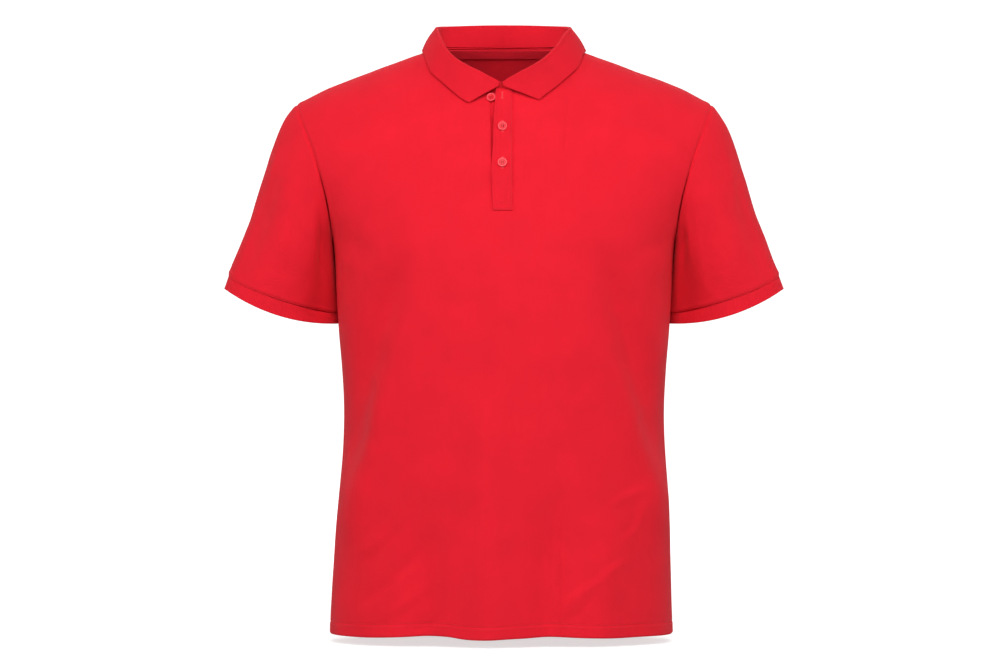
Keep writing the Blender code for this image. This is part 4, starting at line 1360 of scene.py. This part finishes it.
# %% Set stitches along a line
def set_stitches(places, ways, outs, scale=(1.0, 1.0)):
    """Copies of the stitch at places, along ways, with outs off the cloth."""
    ways = unit(ways)
    outs = unit(outs - ways * np.sum(ways * outs, axis=-1, keepdims=True))
    sides = np.cross(outs, ways)
    wide, long = scale
    local = stitch_points * np.array([wide, wide, long])
    points = (
        places[:, None]
        + sides[:, None] * local[None, :, 0:1]
        + outs[:, None] * local[None, :, 1:2]
        + ways[:, None] * local[None, :, 2:3]
    )
    return points.reshape(-1, 3)


def stitched(name, clouds, finish=thread):
    """One object from several runs of stitches."""
    points = np.concatenate(clouds) * MM
    copies = len(points) // len(stitch_points)
    faces = [[c + n * len(stitch_points) for c in face] for n in range(copies) for face in stitch_faces]
    mesh = bpy.data.meshes.new(name)
    mesh.from_pydata(points.tolist(), [], faces)
    mesh.shade_smooth()
    print(name, copies, "stitches")
    return dress(new_object(name, mesh), finish, [])


def resample(line, normals, pitch):
    """Even places along a line of points, with its direction and the cloth's."""
    lengths = np.concatenate([[0.0], np.cumsum(np.linalg.norm(np.diff(line, axis=0), axis=1))])
    at = np.arange(pitch / 2, lengths[-1], pitch)
    places = np.stack([np.interp(at, lengths, line[:, c]) for c in range(3)], -1)
    outs = np.stack([np.interp(at, lengths, normals[:, c]) for c in range(3)], -1)
    return places, np.gradient(places, axis=0), unit(outs)


def sew(line, normals, pitch, lift=0.0):
    """Stitches at even places along a line, a little off the cloth."""
    places, ways, outs = resample(line, normals, pitch)
    return set_stitches(places + outs * lift, ways, outs)


def face_row(face_grid, face, height):
    """A level line on a panel's finished face, a height above the hem."""
    levels = run_lengths(face_grid, 0)
    row = int(np.argmin(np.abs(levels[:, face_grid.shape[1] // 2] - height)))
    return face_grid[row], facing(grid_normals(face_grid)[row], face)


HEM_ROWS = (HEM_DEPTH - 1.6, HEM_DEPTH + 1.6)
HEM_PITCH = 3.1
HEM_STITCH_LIFT = 0.12
hem_lines = [
    face_row(grid, face, height)
    for grid, face in ((front_face, FRONT), (back_face, BACK))
    for height in HEM_ROWS
]
stitched("hem_stitches", [sew(*line, HEM_PITCH, HEM_STITCH_LIFT) for line in hem_lines])

# %% Placket, tape and buttonhole stitches
PLACKET_PITCH = 2.8
PLACKET_STITCH_TOP = -61.0
STRIP_FACE = PLACKET_LIFT + PLACKET_CLOTH - 0.05


def body_line(xs, zs, out):
    return on_body(xs, zs, FRONT, out), body_normal(xs, zs, FRONT)


box_side = np.linspace(BOX_HEIGHTS[0] - 1.0, BOX_HEIGHTS[1] + 3.0, 8)
placket_lines = [
    (np.full(60, BOX_RIGHT), np.linspace(PLACKET_STITCH_TOP, BOX_HEIGHTS[0], 60)),
    (np.linspace(BOX_LEFT, BOX_RIGHT, 12), np.full(12, BOX_HEIGHTS[0])),
    (np.linspace(BOX_LEFT, BOX_RIGHT, 12), np.full(12, BOX_HEIGHTS[1])),
    (np.full(8, BOX_LEFT), box_side),
]
placket_runs = [sew(*body_line(xs, zs, STRIP_FACE), PLACKET_PITCH) for xs, zs in placket_lines]
stitched("placket_stitches", placket_runs)

TAPE_PITCH = 3.0
TAPE_STITCH_INSET = 1.4
tape_angles = np.radians(np.linspace(-64.0, 64.0, 80))
inwards = np.stack([-np.sin(tape_angles), -np.cos(tape_angles), 0 * tape_angles], -1)
tape_runs = [
    sew(tape_place(tape_angles, drop, TAPE_OUT - TAPE_CLOTH - 0.15), inwards, TAPE_PITCH)
    for drop in (TAPE_STITCH_INSET, TAPE_WIDTH - TAPE_STITCH_INSET)
]
stitched("tape_stitches", tape_runs)

SATIN_PITCH = 0.52
SATIN_REACH = 0.85
hole_runs = []
for centre, half in BUTTONHOLES:
    heights = np.arange(centre - half, centre + half, SATIN_PITCH)
    slit = SLOT_WIDTH if half > BUTTONHOLES[0][1] else 0.1
    for side in (-1, 1):
        xs = np.full_like(heights, BUTTON_LINE + side * (slit / 2 + SATIN_REACH / 2))
        places, normals = body_line(xs, heights, STRIP_FACE + 0.1)
        ways = np.tile([1.0, 0.0, 0.0], (len(xs), 1))
        hole_runs.append(set_stitches(places, ways, normals, (1.0, 0.42)))
    for end in (-1, 1):
        xs = np.linspace(BUTTON_LINE - 1.0, BUTTON_LINE + 1.0, 5)
        places, normals = body_line(xs, np.full(5, centre + end * (half + 0.5)), STRIP_FACE + 0.15)
        hole_runs.append(set_stitches(places, np.tile([0.0, 0.0, 1.0], (5, 1)), normals, (1.0, 0.5)))
stitched("buttonhole_stitches", hole_runs, bright_thread)

# %% [markdown]
# ## The buttons
# A shirt button this small is a moulded disc about 11 mm wide, with a rounded rim, a
# shallow dish and four holes. It is modelled from a cylinder: the top face is inset and
# sunk for the dish, the edges are bevelled, and a Boolean cuts the holes. Two threads
# then cross the dish. The finished button is copied to its three places.

# %% Model one button
BUTTON_RADIUS = 5.6
BUTTON_THICK = 2.4
BUTTON_RIM = 1.25
BUTTON_DISH = 0.65
HOLE_RADIUS = 0.62
HOLE_PLACE = 1.15
DISH_SLOPE = 0.45
BUTTON_ROUNDING = 0.42
THREAD_RADIUS = 0.34
THREAD_END = 0.45
THREAD_BOW = 1.4
THREAD_LIFT = 0.25


def apply_place(piece):
    deselect()
    piece.select_set(True)
    bpy.context.view_layer.objects.active = piece
    bpy.ops.object.transform_apply(location=True, rotation=True, scale=True)


def model_button():
    """A button lying on the floor of its own space, with its face up."""
    disc = cylinder(BUTTON_RADIUS, BUTTON_THICK, (0, 0, BUTTON_THICK / 2), 48)
    apply_place(disc)
    bpy.ops.object.mode_set(mode="EDIT")
    edit_faces(disc, lambda face: face.normal.z > 0.9)
    bpy.ops.mesh.inset(thickness=BUTTON_RIM * MM)
    bpy.ops.mesh.inset(thickness=DISH_SLOPE * MM)
    bpy.ops.transform.translate(value=(0.0, 0.0, -BUTTON_DISH * MM))
    bpy.ops.object.mode_set(mode="OBJECT")
    bevel = disc.modifiers.new("rounding", "BEVEL")
    bevel.width = BUTTON_ROUNDING * MM
    bevel.segments = 3
    bevel.limit_method = "ANGLE"
    bevel.angle_limit = radians(30)
    bpy.ops.object.modifier_apply(modifier="rounding")
    for sx in (-1, 1):
        for sy in (-1, 1):
            drill = cylinder(HOLE_RADIUS, BUTTON_THICK * 3, (sx * HOLE_PLACE, sy * HOLE_PLACE, 0), 14)
            cut = disc.modifiers.new("hole", "BOOLEAN")
            cut.operation = "DIFFERENCE"
            cut.object = drill
            bpy.context.view_layer.objects.active = disc
            bpy.ops.object.modifier_apply(modifier="hole")
            bpy.data.objects.remove(drill, do_unlink=True)
    disc.data.shade_smooth()
    disc.data.set_sharp_from_angle(angle=radians(40))
    return disc


def model_threads():
    """Two threads across the dish, each from hole to hole, bowed up in the middle."""
    strands = []
    top = BUTTON_THICK - BUTTON_DISH + THREAD_LIFT
    for sx in (-1, 1):
        strand = cylinder(THREAD_RADIUS, 2 * HOLE_PLACE + 2 * THREAD_END, (sx * HOLE_PLACE, 0, 0), 8)
        strand.rotation_euler = (pi / 2, 0.0, 0.0)
        apply_place(strand)
        bpy.ops.object.mode_set(mode="EDIT")
        for cut_y in (0.0007, 0.0, -0.0007):
            bpy.ops.mesh.select_all(action="SELECT")
            bpy.ops.mesh.bisect(plane_co=(0, cut_y, 0), plane_no=(0, 1, 0))
        bpy.ops.object.mode_set(mode="OBJECT")
        for v in strand.data.vertices:
            v.co.z += (top - THREAD_BOW * (v.co.y / MM / (HOLE_PLACE + THREAD_END)) ** 2) * MM
        strands.append(strand)
    deselect()
    for strand in strands:
        strand.select_set(True)
    bpy.context.view_layer.objects.active = strands[0]
    bpy.ops.object.join()
    joined = bpy.context.object
    joined.data.shade_smooth()
    return joined


# %% Copy the button to its places
# Name, x, height, distance of its back outside the front panel's face, turn in degrees
BUTTONS = [
    ("top", -15.8, -67.2, 0.4, 24.0),
    ("middle", -1.9, -103.7, 2.5, -6.0),
    ("low", -2.0, -148.5, 2.5, 4.0),
]
pattern_disc = model_button()
pattern_threads = model_threads()
# The rim is painted paler than the dish inside it, a painted highlight, so it and the back take a finish of
# their own
painted_highlight_faces = [
    face.center.xy.length > (BUTTON_RADIUS - BUTTON_RIM - 0.2) * MM or face.center.z < 0.2 * MM
    for face in pattern_disc.data.polygons
]


def place_copy(pattern, name, x, z, out, turn):
    copy = new_object(name, pattern.data.copy())
    way = body_normal(x, z, FRONT)
    side = unit(np.cross([0.0, 0.0, 1.0], way))
    up = np.cross(way, side)
    spin = Matrix.Rotation(radians(turn), 4, "Z")
    stand = Matrix([list(row) for row in np.stack([side, up, way], -1)]).to_4x4()
    spot = on_body(x, z, FRONT, out) * MM
    copy.data.transform(Matrix.Translation(Vector(spot.tolist())) @ stand @ spin)
    return copy


for word, x, z, out, turn in BUTTONS:
    disc = place_copy(pattern_disc, f"button_{word}_disc", x, z, out, turn)
    dress(disc, plastic, [f"button_{word}"])
    # The rim faces and the back take the lighter finish: a painted highlight
    disc.data.materials.append(painted_highlight_plastic)
    for face, on_highlight in zip(disc.data.polygons, painted_highlight_faces):
        face.material_index = int(on_highlight)
    strands = place_copy(pattern_threads, f"button_{word}_thread", x, z, out, turn)
    dress(strands, button_thread, [])
for pattern in (pattern_disc, pattern_threads):
    bpy.data.objects.remove(pattern, do_unlink=True)
